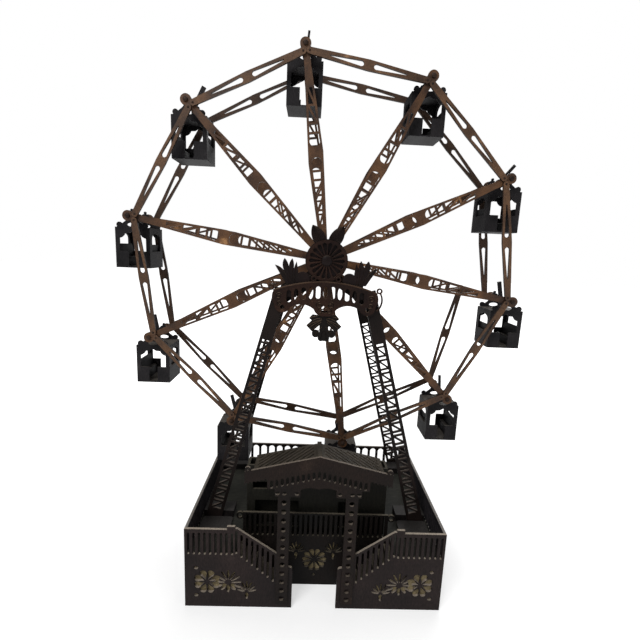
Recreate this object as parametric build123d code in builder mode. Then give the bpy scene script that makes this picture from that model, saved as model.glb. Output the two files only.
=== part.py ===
from build123d import *
import math
import os

# A hand-cranked model ferris wheel cut from thin sheet: ten hanging cabins on a
# twin-rim wheel, two lattice towers, and a fenced platform with a station front.
# Millimetres. +Z is up, -Y is the front, and X runs along the wheel's face.
# The origin is on the ground under the middle of the whole model.

# ---- sheet and fits ---------------------------------------------------------
SHEET = 3.0                # frame, tower and platform sheet
CABIN_SHEET = 2.0          # thinner sheet of the cabins
FIT = 0.05                 # running clearance on a radius
SIDE_GAP = 0.4             # side clearance beside a turning piece

# ---- wheel --------------------------------------------------------------------
CABINS = 10
REST_TURN = 7.9            # degrees that the wheel is turned at rest
RIM_R = 240.0              # corners of the rim beams from the hub
PIVOT_OUT = 8.0            # cabin axles outside those corners
RIM_SPACING = 64.0         # mid-plane of the front spokes to that of the rear ones
DECK_CLEAR = 25.0          # deck up to the lowest cabin

SPOKE_ROOT_W = 7.2
SPOKE_MID_W = 18.4
SPOKE_TIP_W = 8.0
SPOKE_MID_SHARE = 0.52     # of the spoke's length, where it is widest
SPOKE_TIP_IN = 24.0        # cabin axle in to where the outer taper ends
SPOKE_EYE_R = 6.5
SPOKE_RAIL = 2.6           # edge strip beside the windows
SPOKE_STRUT = 2.4          # cross strip between windows
SPOKE_BAND = 12.0
SPOKE_D_HOLE = 14.5
SPOKE_SQUARE = 8.0
SPOKE_INNER_CELL = 15.5
SPOKE_OUTER_CELL = 18.0
SPOKE_INNER_CELLS = 3      # diagonal cells between the band and the hub
SPOKE_OUTER_CELLS = 2

BEAM_MID_W = 12.0
BEAM_END_R = 3.6
BEAM_BAND = 12.0
BEAM_SLOT = 40.0
BEAM_SLOT_R = 3.1
BEAM_SLOT_TIP_W = 1.2
BEAM_END_GAP = 0.3         # between the round ends of two beams
LOOSE_BEAM_LEAN = 15.0     # degrees that the unfastened beam leans inwards

HUB_R = 20.0
HUB_FLANGE_R = 22.0
AXLE_R = 4.0
AXLE_SPACER_R = 6.5

# ---- crank --------------------------------------------------------------------
CRANK_REACH = 31.0
CRANK_ARM_T = 4.0
CRANK_EYE_R = 7.0
CRANK_END_R = 5.0
CRANK_PIN_R = 2.0
CRANK_PIN_HEAD_R = 3.6
CRANK_PIN_HEAD_T = 1.6
KNOB_R = 6.5
KNOB_LENGTH = 22.0
KNOB_WAIST_R = 5.2
CRANK_REST = -96.0         # degrees from +X at rest

# ---- cabins -------------------------------------------------------------------
CABIN_W = 43.0
CABIN_D = 43.0
EAVE_DROP = 13.5           # axle down to the roof's upper face
CABIN_DROP = 64.0          # axle down to the underside
CABIN_AXLE_R = 2.0
CABIN_EYE_R = 6.2
CABIN_LOBE_R = 3.5
CABIN_LOBE_X = 16.0
CABIN_POST = 5.0           # corner posts beside the front opening
SIDE_POST = 5.5
SILL_H = 21.0              # lower wall, from the underside
ARCH_CLEAR = 4.5           # eave down to the point of the arch
ARCH_SHOULDER = 8.0        # height of the arch's curved shoulders
DOOR_W = 11.0
DOOR_SILL = 3.5
OVAL_W = 13.0
OVAL_H = 5.0
FINIAL_R = 1.7
CREST = ((19.5, -13.5), (13.0, -9.5), (8.0, -5.5), (5.0, -2.0))   # one side of the gable's curve
FINIAL_RISE = 7.5
BENCH_DEPTH = 9.5
BENCH_T = 2.0
BENCH_H = 12.0             # floor to the seat's top
BENCH_BACK_H = 16.0
BENCH_LEAN = 2.2
CABIN_SPACER_R = 3.2
HANGER_R = 4.4
HANGER_W = 5.0
# The blade on each cabin's hanger: lean from +X, width, and reach from the axle.
# Counted from the cabin at upper right.
BLADES = (
    (51, 3.6, 29.0),
    (56, 4.4, 20.0),
    (84, 2.6, 28.5),
    (63, 5.0, 29.0),
    (-8, 4.4, 20.0),
    (101, 4.4, 25.0),
    (104, 4.2, 24.5),
    (97, 4.4, 20.0),
    (95, 3.2, 23.5),
    (102, 4.8, 24.0),
)

# ---- towers -------------------------------------------------------------------
TOWER_REACH = 64.5         # wheel's mid-plane to the inner face of a head plate
DECK_TOP = 67.5
LEG_FOOT_IN = 17.5         # end of the platform in to the middle of a leg's foot
LEG_FOOT_W = 20.5
LEG_NECK_X = 56.4
LEG_NECK_DROP = 50.0       # hub down to where LEG_NECK_X is measured
LEG_NECK_W = 15.2
LEG_TOP_DROP = 34.0
LEG_RAIL = 3.8
LEG_RUNG = 2.0
LEG_CELL = 9.6
LEG_SLOT = 3.2
LEG_FOOT_SOLID = 15.0
LEG_NECK_SOLID = 48.0
HEAD_R = 25.0
HEAD_ARM_W = 13.0
FOOT_PLATE_W = 38.0
FOOT_PLATE_D = 30.0
FOOT_BLOCK_W = 38.0
FOOT_BLOCK_D = 20.0
FOOT_BLOCK_H = 9.0
FOOT_IN = 7.0              # plates and blocks inwards of the leg's foot

# ---- hub ornaments ------------------------------------------------------------
ROSETTE_R = 24.0
ROSETTE_PETALS = 18
ROSETTE_BOSS_R = 6.5
ROSETTE_RING = 3.2
LEAF_RING_R = 21.0
LEAF_BLADE = 27.0
LEAF_W = 15.0
LEAF_LEAN = 60.0
LEAF_ROOT = (4.6, 17.0)    # from the hub
SIGN_W = 122.0
SIGN_TOP_DROP = 25.5
SIGN_END_DROP = 37.0
SIGN_LOBE_DROP = 62.0
SIGN_ARC_DROP = 51.5
SIGN_MEDAL_DROP = 64.5
SIGN_MEDAL_W = 26.0
SIGN_SLOTS = 11
SIGN_SLOT_W = 5.4
SIGN_SLOT_SHARE = 0.07     # slot pitch over the sign's width
SIGN_SLOT_H = 14.5
SIGN_SLOT_INSET = 4.0      # top edge down to the slots
SCROLL_R = 3.4
SCROLL_W = 1.6
SCROLL_X = 14.5
TRIM_RAIL = 2.0
PENDANT_BOTTOM_DROP = 96.0
CROWN_X = 40.0
CROWN_W = 14.0
CROWN_H = 29.0
CROWN_DROP = 27.6
CROWN_TAIL = 16.0          # hidden behind the sign, out to the leg
CROWN_TAIL_OUT = 16.0
CROWN_LOBE_X = 27.5        # low leaf between the crown and the rosette
CROWN_LOBE_R = 8.5

# ---- platform -----------------------------------------------------------------
BASE_W = 300.0
BASE_FRONT = 135.0         # wheel's mid-plane to the front face
BASE_REAR = 74.0           # wheel's mid-plane to the rear face
FENCE_TOP = 100.5
FENCE_SLOT_W = 2.8
FENCE_PITCH = 6.2
FENCE_SLOT_BOTTOM = 68.5
FENCE_CAP = 4.5            # solid strip above the slots
RECESS_DEPTH = 34.0
RECESS_HALF = 26.0
SHOULDER_H = 54.0
SHOULDER_R = 4.0
STAIR_TOP_X = 90.0
STAIR_LOW_X = 46.5
STAIR_LOW_RAIL = 72.5      # top of the sloping handrail at its low end
STAIR_SLOT_LOW = 33.0      # bottom of the first sloping-fence slot
STAIR_SLOT_RISE = 0.83     # climb of the slot bottoms for each mm outwards
STAIR_STEPS = 8
STAIR_FOOT_X = 31.0
STAIR_FOOT_H = 9.0
STAIR_BODY = 7.0
NEWEL_W = 9.0
NEWEL_H = 4.0
ARCH_PITCH = 12.8
ARCH_W = 9.2
ARCH_TOP_RAIL = 2.8
RAIL_CURL_R = 4.6
RAIL_CURL_W = 1.8
INNER_RAIL_HALF = 89.0
INNER_RAIL_TOP = 99.0
DAISY_IN = 25.5            # middle of the flower from the end of the wall
DAISY_Z = 33.0
DAISY_R = 15.5
DAISY_PETALS = 8
DAISY_HEART = 0.18         # solid heart over flower radius
ASTER_IN = 50.0
ASTER_Z = 32.5
ASTER_R = 13.5
SPRAY_IN = 71.5
SPRAY_Z = 20.5
SPRAY_R = 14.5
RECESS_DAISY_Z = 35.5
RECESS_DAISY_R = 15.5
RECESS_PETALS = 10
RECESS_SPRAY_X = 23.0
RECESS_SPRAY_Z = 46.0
BACKING_T = 1.5
BACKING_MARGIN = 4.0
BACKING_LOW = 5.0

# ---- station front --------------------------------------------------------------
COLUMN_X = 38.0
COLUMN_W = 13.8
COLUMN_FOOT = 8.0
CAPITAL_X = 34.2           # the capitals reach further inwards than outwards
CAPITAL_Z = 145.5
CAPITAL_H = 9.0
CAPITAL_W = 28.5
COLUMN_HOLE_R = 3.1
COLUMN_HOLES = 12
COLUMN_HOLE_PITCH = 11.2
CANOPY_HALF = 73.0
CANOPY_RIDGE_Z = 194.0
CANOPY_EAVE_Z = 176.5
CANOPY_DEPTH = 34.0
CANOPY_T = 2.5
CANOPY_GAP_W = 2.3
CANOPY_GAP_PITCH = 8.0     # along the slope, between the gaps of the slats
CANOPY_GAP_TURN = 42.0     # of the slats from the line of the slope
CANOPY_GAP_EDGE = 4.0      # solid border round the slats
CANOPY_GAP_MIN = 7.0       # shortest gap in the corners
CANOPY_HOLD_BACK = 2.0     # roof edge behind the ends of the gable board
BOARD_HALF = 82.0
BOARD_FACIA = 15.0         # depth of the board's sloping ends
BOARD_PLATE_HALF = 57.0    # half the deeper middle
BOARD_BAND_H = 9.6
BOARD_BAND_DROP = 21.4     # board's top edge down to the middle of the slots
BOARD_SLOTS = 19
BOARD_SLOT_W = 3.4
BOARD_SLOT_PITCH = 5.8
BOARD_CURL_R = 3.4
BOARD_NICK_R = 1.5
BOOTH_HALF = 86.0
BOOTH_FRONT = 92.0         # wheel's mid-plane to the booth's front face
BOOTH_DEPTH = 20.0
BOOTH_TOP = 156.0
WINDOW_LOW = 124.5
WINDOW_HIGH = 134.5
COUNTER_TOP = 110.0
COUNTER_LOW = 74.0

# ---- worked-out places ------------------------------------------------------------
KNOB_START = TOWER_REACH + 2 * SHEET + SIDE_GAP + 0.3 + CRANK_ARM_T + SIDE_GAP
REAR_REACH = KNOB_START + KNOB_LENGTH + SIDE_GAP + CRANK_PIN_HEAD_T
FRONT_REACH = BASE_FRONT + SHEET
WHEEL_Y = (FRONT_REACH - REAR_REACH) / 2       # the wheel's mid-plane
PIVOT_R = RIM_R + PIVOT_OUT                    # cabin axles from the hub
HUB_HEIGHT = DECK_TOP + DECK_CLEAR + CABIN_DROP + PIVOT_R
SPOKE_MID_R = SPOKE_MID_SHARE * PIVOT_R
SPOKE_TIP_R = PIVOT_R - SPOKE_TIP_IN
STEP_ANGLE = 360 / CABINS
FIRST_SPOKE = REST_TURN + STEP_ANGLE / 2       # the spoke at upper right
CHORD = 2 * RIM_R * math.sin(math.pi / CABINS)
APOTHEM = RIM_R * math.cos(math.pi / CABINS)
SPOKE_FACE = RIM_SPACING / 2 - SHEET / 2       # inner face of a spoke sheet
BEAM_FACE = SPOKE_FACE + SHEET
BASE_HALF = BASE_W / 2
LEG_FOOT_X = BASE_HALF - LEG_FOOT_IN


def polar(radius, degrees):
    """A point at a radius and an angle."""
    angle = math.radians(degrees)
    return (radius * math.cos(angle), radius * math.sin(angle))


def mirrored(points):
    """The points of the other half of an outline that is even about x = 0."""
    return [(-x, y) for x, y in reversed(points)]


def sorted_turn(points):
    """The points of an outline in counter-clockwise order."""
    area = sum(a[0] * b[1] - b[0] * a[1] for a, b in zip(points, points[1:] + points[:1]))
    return points if area > 0 else points[::-1]


def plane_at(y, z=0.0, x=0.0):
    """A drawing plane seen from the front; a sheet on it grows towards the front."""
    return Plane(origin=(x, y, z), x_dir=(1, 0, 0), z_dir=(0, -1, 0))


def ahead(reach, z=0.0, x=0.0):
    """The back face of a sheet that stands this far in front of the wheel's mid-plane."""
    return plane_at(WHEEL_Y - reach, z, x)


def behind(reach, z=0.0, x=0.0, thick=SHEET):
    """The back face of a sheet that starts this far behind the wheel's mid-plane."""
    return plane_at(WHEEL_Y + reach + thick, z, x)


def across(x, y=0.0, z=0.0):
    """A drawing plane seen from the side, Y to the right; a sheet grows towards +X."""
    return Plane(origin=(x, y, z), x_dir=(0, 1, 0), z_dir=(1, 0, 0))


def strut(p, q, width):
    """A straight strip between two points, added to the current sketch."""
    along = (Vector(*q) - Vector(*p)).normalized() * (width / 2)
    side = Vector(-along.Y, along.X)
    start, end = Vector(*p), Vector(*q)
    Polygon(start + side, start - side, end - side, end + side, align=None)


def finish(piece, name):
    """Names a finished piece and writes it."""
    piece.part.label = name
    export_step(piece.part, f"parts/{name}.step")


os.makedirs("parts", exist_ok=True)


# ---- wheel: spokes ------------------------------------------------------------
def spoke_half_width(radius):
    """Half the spoke's width: it swells from the root to the band and tapers to the tip."""
    if radius < SPOKE_MID_R:
        share = (radius - SPOKE_ROOT) / (SPOKE_MID_R - SPOKE_ROOT)
        return (SPOKE_ROOT_W + share * (SPOKE_MID_W - SPOKE_ROOT_W)) / 2
    share = min(1.0, (radius - SPOKE_MID_R) / (SPOKE_TIP_R - SPOKE_MID_R))
    return (SPOKE_MID_W + share * (SPOKE_TIP_W - SPOKE_MID_W)) / 2


def spoke_windows(side, cell, count):
    """The windows of one side of the band: a D-shaped hole, a square and the lattice cells.
    side is 1 outwards and -1 towards the hub."""

    def corner(step, up):
        radius = SPOKE_MID_R + side * step
        return (radius, up * (spoke_half_width(radius) - SPOKE_RAIL))

    def window(start, end):
        Polygon(corner(start, -1), corner(end, -1), corner(end, 1), corner(start, 1), align=None)

    round_r = corner(SPOKE_BAND / 2, 1)[1]
    d_start = SPOKE_BAND / 2 + round_r
    d_end = SPOKE_BAND / 2 + SPOKE_D_HOLE
    window(d_start, d_end)
    with Locations((SPOKE_MID_R + side * d_start, 0)):
        Circle(round_r)
    square = d_end + SPOKE_STRUT
    window(square, square + SPOKE_SQUARE)
    cells = [square + SPOKE_SQUARE + SPOKE_STRUT + i * (cell + SPOKE_STRUT) for i in range(count)]
    for start in cells:
        window(start, start + cell)
    return [(corner(start, -1), corner(start + cell, 1)) for start in cells]


SPOKE_ROOT = SPOKE_ROOT_W / 2 / math.tan(math.pi / CABINS) + 1.2

with BuildSketch() as inner_windows:
    inner_diagonals = spoke_windows(-1, SPOKE_INNER_CELL, SPOKE_INNER_CELLS)
with BuildSketch() as outer_windows:
    outer_diagonals = spoke_windows(1, SPOKE_OUTER_CELL, SPOKE_OUTER_CELLS)
with BuildSketch() as spoke_shape:
    edge = [(r, spoke_half_width(r)) for r in (SPOKE_ROOT, SPOKE_MID_R, SPOKE_TIP_R, PIVOT_R)]
    Polygon(*[(r, -w) for r, w in edge], *reversed(edge), align=None)
    with Locations((PIVOT_R, 0)):
        Circle(SPOKE_EYE_R)
        Circle(CABIN_AXLE_R, mode=Mode.SUBTRACT)
    add(inner_windows.sketch, mode=Mode.SUBTRACT)
    add(outer_windows.sketch, mode=Mode.SUBTRACT)
    for low, high in inner_diagonals + outer_diagonals:
        strut(low, high, SPOKE_STRUT)


# ---- wheel: rim beams -----------------------------------------------------------
BEAM_END = CHORD / 2 - (BEAM_END_R + BEAM_END_GAP / 2) / math.cos(math.pi / CABINS)

with BuildSketch() as beam_shape:
    Polygon(
        (BEAM_END_R, -BEAM_END),
        (BEAM_MID_W / 2, 0),
        (BEAM_END_R, BEAM_END),
        (-BEAM_END_R, BEAM_END),
        (-BEAM_MID_W / 2, 0),
        (-BEAM_END_R, -BEAM_END),
        align=None,
    )
    with Locations((0, BEAM_END), (0, -BEAM_END)):
        Circle(BEAM_END_R)
    for up in (1, -1):
        slot_round = up * (BEAM_BAND / 2 + BEAM_SLOT_R)
        slot_tip = up * (BEAM_BAND / 2 + BEAM_SLOT)
        with Locations((0, slot_round)):
            Circle(BEAM_SLOT_R, mode=Mode.SUBTRACT)
        Polygon(
            (-BEAM_SLOT_R, slot_round),
            (BEAM_SLOT_R, slot_round),
            (BEAM_SLOT_TIP_W / 2, slot_tip),
            (-BEAM_SLOT_TIP_W / 2, slot_tip),
            align=None,
            mode=Mode.SUBTRACT,
        )

# The rear beam between the third and fourth cabin has come off its outer corner.
# It still hangs on the other corner and leans inwards behind a spoke.
LOOSE_AT = FIRST_SPOKE - 1.5 * STEP_ANGLE
LOOSE_CORNER = Vector(*polar(RIM_R, LOOSE_AT - STEP_ANGLE / 2))
LOOSE_ALONG = Vector(*polar(1, LOOSE_AT + 90))
LOOSE_LEANING = Vector(*polar(1, LOOSE_AT + 90 + LOOSE_BEAM_LEAN))
LOOSE_MIDDLE = LOOSE_CORNER + LOOSE_ALONG * (CHORD / 2 - BEAM_END) + LOOSE_LEANING * BEAM_END

for place, spoke_plane, beam_plane in (
    ("front", ahead(SPOKE_FACE, HUB_HEIGHT), ahead(BEAM_FACE, HUB_HEIGHT)),
    ("rear", behind(SPOKE_FACE, HUB_HEIGHT), behind(BEAM_FACE, HUB_HEIGHT)),
):
    with BuildPart() as spokes:
        with BuildSketch(spoke_plane):
            with PolarLocations(0, CABINS, start_angle=FIRST_SPOKE):
                add(spoke_shape.sketch)
        extrude(amount=SHEET)
    finish(spokes, f"{place}_spokes")

    beam_count = CABINS if place == "front" else CABINS - 1
    with BuildPart() as beams:
        with BuildSketch(beam_plane):
            with PolarLocations(
                APOTHEM,
                beam_count,
                start_angle=LOOSE_AT + STEP_ANGLE,
                angular_range=beam_count * STEP_ANGLE,
            ):
                add(beam_shape.sketch)
        extrude(amount=SHEET)
    finish(beams, f"{place}_rim_beams")

with BuildPart() as loose_beam:
    with BuildSketch(behind(BEAM_FACE, HUB_HEIGHT)):
        with Locations(Location((LOOSE_MIDDLE.X, LOOSE_MIDDLE.Y, 0), (0, 0, LOOSE_AT + LOOSE_BEAM_LEAN))):
            add(beam_shape.sketch)
    extrude(amount=SHEET)
finish(loose_beam, "loose_rim_beam")


# ---- wheel: hub, axle and crank ---------------------------------------------------
with BuildPart() as hub_barrel:
    with BuildSketch(ahead(-SPOKE_FACE, HUB_HEIGHT)):
        Circle(HUB_R)
        Circle(AXLE_R, mode=Mode.SUBTRACT)
    extrude(amount=2 * SPOKE_FACE)
finish(hub_barrel, "hub_barrel")

for place, flange_plane in (
    ("front", ahead(BEAM_FACE, HUB_HEIGHT)),
    ("rear", behind(BEAM_FACE, HUB_HEIGHT)),
):
    with BuildPart() as flange:
        with BuildSketch(flange_plane):
            Circle(HUB_FLANGE_R)
            Circle(AXLE_R, mode=Mode.SUBTRACT)
        extrude(amount=SHEET)
    finish(flange, f"{place}_hub_flange")

SPACER_START = BEAM_FACE + SHEET
SPACER_LENGTH = TOWER_REACH - SIDE_GAP - SPACER_START
with BuildPart() as axle_spacers:
    for spacer_plane in (
        ahead(SPACER_START, HUB_HEIGHT),
        behind(SPACER_START, HUB_HEIGHT, thick=SPACER_LENGTH),
    ):
        with BuildSketch(spacer_plane):
            Circle(AXLE_SPACER_R)
            Circle(AXLE_R, mode=Mode.SUBTRACT)
        extrude(amount=SPACER_LENGTH)
finish(axle_spacers, "axle_spacers")

AXLE_FRONT = TOWER_REACH + 2 * SHEET - SIDE_GAP
AXLE_REAR = KNOB_START - SIDE_GAP
with BuildPart() as main_axle:
    with BuildSketch(behind(AXLE_REAR, HUB_HEIGHT, thick=0)):
        Circle(AXLE_R)
    extrude(amount=AXLE_REAR + AXLE_FRONT)
finish(main_axle, "main_axle")

ARM_BACK = KNOB_START - SIDE_GAP
CRANK_END = polar(CRANK_REACH, CRANK_REST)
with BuildPart() as crank_arm:
    with BuildSketch(behind(ARM_BACK, HUB_HEIGHT, thick=0)):
        Circle(CRANK_EYE_R)
        with Locations(CRANK_END):
            Circle(CRANK_END_R)
        make_hull()
        Circle(AXLE_R, mode=Mode.SUBTRACT)
        with Locations(CRANK_END):
            Circle(CRANK_PIN_R, mode=Mode.SUBTRACT)
    extrude(amount=CRANK_ARM_T)
finish(crank_arm, "crank_arm")

PIN_START = ARM_BACK - CRANK_ARM_T
PIN_END = KNOB_START + KNOB_LENGTH + SIDE_GAP
with BuildPart() as crank_pin:
    with BuildSketch(behind(PIN_END, HUB_HEIGHT, thick=0)):
        with Locations(CRANK_END):
            Circle(CRANK_PIN_R)
    extrude(amount=PIN_END - PIN_START)
    with BuildSketch(behind(PIN_END, HUB_HEIGHT, thick=CRANK_PIN_HEAD_T)):
        with Locations(CRANK_END):
            Circle(CRANK_PIN_HEAD_R)
    extrude(amount=CRANK_PIN_HEAD_T)
finish(crank_pin, "crank_pin")

KNOB_PLANE = Plane(
    origin=(CRANK_END[0], WHEEL_Y + KNOB_START, HUB_HEIGHT + CRANK_END[1]),
    x_dir=(1, 0, 0),
    z_dir=(0, 0, 1),
)
with BuildPart() as crank_knob:
    with BuildSketch(KNOB_PLANE):
        with BuildLine():
            Polyline(
                (CRANK_PIN_R + FIT, 0),
                (KNOB_WAIST_R, 0),
                (KNOB_WAIST_R, 2),
            )
            ThreePointArc(
                (KNOB_WAIST_R, 2),
                (KNOB_R, KNOB_LENGTH * 0.6),
                (KNOB_WAIST_R, KNOB_LENGTH - 1),
            )
            Polyline(
                (KNOB_WAIST_R, KNOB_LENGTH - 1),
                (KNOB_WAIST_R - 1, KNOB_LENGTH),
                (CRANK_PIN_R + FIT, KNOB_LENGTH),
                (CRANK_PIN_R + FIT, 0),
            )
        make_face()
    revolve(axis=Axis(KNOB_PLANE.origin, (0, 1, 0)))
finish(crank_knob, "crank_knob")


# ---- wheel: cabin axles and their spacers -----------------------------------------
CABIN_ANGLES = [FIRST_SPOKE + i * STEP_ANGLE for i in range(CABINS)]
CABIN_PIVOTS = [polar(PIVOT_R, angle) for angle in CABIN_ANGLES]
AXLE_OVERHANG = BEAM_FACE + 1.0
SPACER_IN = CABIN_D / 2 + SIDE_GAP
SPACER_OUT = SPOKE_FACE - SPACER_IN

with BuildPart() as cabin_axles:
    with BuildSketch(ahead(-AXLE_OVERHANG, HUB_HEIGHT)):
        with Locations(*CABIN_PIVOTS):
            Circle(CABIN_AXLE_R)
    extrude(amount=2 * AXLE_OVERHANG)
finish(cabin_axles, "cabin_axles")

with BuildPart() as cabin_spacers:
    with BuildSketch(
        ahead(SPACER_IN, HUB_HEIGHT),
        behind(SPACER_IN, HUB_HEIGHT, thick=SPACER_OUT),
    ):
        with Locations(*CABIN_PIVOTS):
            Circle(CABIN_SPACER_R)
            Circle(CABIN_AXLE_R, mode=Mode.SUBTRACT)
    extrude(amount=SPACER_OUT)
finish(cabin_spacers, "cabin_spacers")


# ---- cabins ---------------------------------------------------------------------
# Drawn about the cabin's axle.
HALF_W = CABIN_W / 2
INNER_W = HALF_W - CABIN_SHEET
INNER_D = CABIN_D / 2 - CABIN_SHEET
OPEN_HALF = HALF_W - CABIN_POST
SILL = SILL_H - CABIN_DROP
CUSP = -EAVE_DROP - ARCH_CLEAR

with BuildSketch() as arch_opening:
    with BuildLine():
        Polyline(
            (0, CUSP),
            (4, CUSP - 2.6),
            (OPEN_HALF - 7, CUSP - 3),
        )
        RadiusArc((OPEN_HALF - 7, CUSP - 3), (OPEN_HALF, CUSP - 3 - ARCH_SHOULDER + 2), -9)
        Polyline((OPEN_HALF, CUSP - 1 - ARCH_SHOULDER), (OPEN_HALF, SILL), (0, SILL))
        mirror(about=Plane.YZ)
    make_face()

with BuildSketch() as cabin_front:
    Polygon(
        (-HALF_W, -CABIN_DROP),
        (HALF_W, -CABIN_DROP),
        (HALF_W, -EAVE_DROP),
        *CREST,
        *mirrored(CREST),
        (-HALF_W, -EAVE_DROP),
        align=None,
    )
    for lobe_x in (CABIN_LOBE_X, -CABIN_LOBE_X):
        with Locations((lobe_x, CABIN_LOBE_R - EAVE_DROP - 0.7)):
            Circle(CABIN_LOBE_R)
    Circle(CABIN_EYE_R)
    with Locations((0, FINIAL_RISE)):
        Circle(FINIAL_R)
    Circle(CABIN_AXLE_R + FIT, mode=Mode.SUBTRACT)
    with Locations((0, (CREST[1][1] - EAVE_DROP) / 2 + 1.2)):
        Ellipse(OVAL_W / 2, OVAL_H / 2, mode=Mode.SUBTRACT)
    add(arch_opening.sketch, mode=Mode.SUBTRACT)
    with Locations((0, (SILL + DOOR_SILL - CABIN_DROP) / 2)):
        RectangleRounded(
            DOOR_W,
            SILL - DOOR_SILL + CABIN_DROP + 2 * CABIN_SHEET,
            CABIN_SHEET,
            mode=Mode.SUBTRACT,
        )

SIDE_OPEN = CABIN_D / 2 - SIDE_POST - CABIN_SHEET
SIDE_SPRING = -EAVE_DROP - ARCH_CLEAR - 2 - SIDE_OPEN / 2
with BuildSketch() as cabin_side:
    Polygon(
        (-INNER_D, -CABIN_DROP),
        (INNER_D, -CABIN_DROP),
        (INNER_D, -EAVE_DROP),
        (-INNER_D, -EAVE_DROP),
        align=None,
    )
    Polygon(
        (-SIDE_OPEN, SILL),
        (SIDE_OPEN, SILL),
        (SIDE_OPEN, SIDE_SPRING),
        (-SIDE_OPEN, SIDE_SPRING),
        align=None,
        mode=Mode.SUBTRACT,
    )
    with Locations((0, SIDE_SPRING)):
        Ellipse(SIDE_OPEN, SIDE_OPEN / 2, mode=Mode.SUBTRACT)

with BuildSketch() as cabin_deck:
    Rectangle(2 * INNER_W, 2 * INNER_D)

BENCH_FRONT = INNER_W - BENCH_DEPTH
FLOOR_TOP = CABIN_SHEET - CABIN_DROP
SEAT = FLOOR_TOP + BENCH_H
with BuildSketch() as bench_profile:
    Polygon(
        (BENCH_FRONT, FLOOR_TOP),
        (BENCH_FRONT + BENCH_T, FLOOR_TOP),
        (BENCH_FRONT + BENCH_T, SEAT - BENCH_T),
        (INNER_W - BENCH_LEAN, SEAT - BENCH_T),
        (INNER_W - 0.1, SEAT + BENCH_BACK_H),
        (INNER_W - 0.1 - 0.8 * BENCH_T, SEAT + BENCH_BACK_H),
        (INNER_W - BENCH_LEAN - 0.8 * BENCH_T, SEAT),
        (BENCH_FRONT, SEAT),
        align=None,
    )
    fillet(bench_profile.vertices().sort_by_distance((BENCH_FRONT, SEAT))[0], 1.2)
    mirror(about=Plane.YZ)

for number, (pivot, blade) in enumerate(zip(CABIN_PIVOTS, BLADES), start=1):
    pivot_x = pivot[0]
    pivot_z = HUB_HEIGHT + pivot[1]
    lean, blade_w, blade_reach = blade
    with BuildSketch() as hanger:
        Circle(HANGER_R)
        strut((0, 0), (0, -EAVE_DROP - CABIN_SHEET / 2), HANGER_W)
        strut((0, 0), polar(blade_reach, lean), blade_w)
        Circle(CABIN_AXLE_R + FIT, mode=Mode.SUBTRACT)

    with BuildPart() as cabin_box:
        with BuildSketch(
            ahead(INNER_D, pivot_z, pivot_x),
            behind(INNER_D, pivot_z, pivot_x, thick=CABIN_SHEET),
        ):
            add(cabin_front.sketch)
        extrude(amount=CABIN_SHEET)
        with BuildSketch(
            across(pivot_x + INNER_W, WHEEL_Y, pivot_z),
            across(pivot_x - HALF_W, WHEEL_Y, pivot_z),
        ):
            add(cabin_side.sketch)
        extrude(amount=CABIN_SHEET)
        with BuildSketch(
            Plane(origin=(pivot_x, WHEEL_Y, pivot_z - CABIN_DROP)),
            Plane(origin=(pivot_x, WHEEL_Y, pivot_z - EAVE_DROP - CABIN_SHEET)),
        ):
            add(cabin_deck.sketch)
        extrude(amount=CABIN_SHEET)
        with BuildSketch(ahead(-SHEET / 2, pivot_z, pivot_x)):
            add(hanger.sketch)
        extrude(amount=SHEET)
    finish(cabin_box, f"cabin_{number:02d}_box")

    with BuildPart() as benches:
        with BuildSketch(ahead(0.1 - INNER_D, pivot_z, pivot_x)):
            add(bench_profile.sketch)
        extrude(amount=2 * (INNER_D - 0.1))
    finish(benches, f"cabin_{number:02d}_benches")


# ---- towers -----------------------------------------------------------------------
# Drawn about the hub, as seen from the front.
LEG_FOOT_DROP = HUB_HEIGHT - DECK_TOP
LEG_SLOPE = (LEG_FOOT_X - LEG_NECK_X) / (LEG_FOOT_DROP - LEG_NECK_DROP)
LEG_STRETCH = math.hypot(1, LEG_SLOPE)             # length along the leg for each mm of height
LEG_ANGLE = 90 + math.degrees(math.atan(LEG_SLOPE))
LEG_LENGTH = (LEG_FOOT_DROP - LEG_TOP_DROP) * LEG_STRETCH
LEG_NECK_AT = (LEG_FOOT_DROP - LEG_NECK_DROP) * LEG_STRETCH
LEG_UNIT = LEG_CELL + LEG_RUNG + LEG_SLOT + LEG_RUNG
LEG_UNITS = int((LEG_LENGTH - LEG_FOOT_SOLID - LEG_NECK_SOLID) / LEG_UNIT)


def leg_half_width(along):
    """Half the leg's width at a distance from its foot."""
    return (LEG_FOOT_W + along / LEG_NECK_AT * (LEG_NECK_W - LEG_FOOT_W)) / 2


def leg_window(start, end):
    """A cross-cut window of the leg between its two rails."""
    low = leg_half_width(start) - LEG_RAIL
    high = leg_half_width(end) - LEG_RAIL
    Polygon((start, -low), (end, -high), (end, high), (start, low), align=None, mode=Mode.SUBTRACT)
    return (start, -low), (end, high)


with BuildSketch() as straight_leg:
    foot_half = leg_half_width(0)
    top_half = leg_half_width(LEG_LENGTH)
    Polygon(
        (-LEG_FOOT_W / 2, -foot_half),
        (LEG_LENGTH, -top_half),
        (LEG_LENGTH, top_half),
        (-LEG_FOOT_W / 2, foot_half),
        align=None,
    )
    for unit in range(LEG_UNITS):
        cell = LEG_FOOT_SOLID + unit * LEG_UNIT
        low, high = leg_window(cell, cell + LEG_CELL)
        slot = cell + LEG_CELL + LEG_RUNG
        leg_window(slot, slot + LEG_SLOT)
        strut(low, high, LEG_RUNG)

with BuildSketch() as right_leg:
    with Locations(Location((LEG_FOOT_X, -LEG_FOOT_DROP, 0), (0, 0, LEG_ANGLE))):
        add(straight_leg.sketch)
    with Locations((LEG_FOOT_X, -LEG_FOOT_DROP)):
        Rectangle(2 * LEG_FOOT_W, LEG_FOOT_W, align=(Align.CENTER, Align.MAX), mode=Mode.SUBTRACT)

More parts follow.
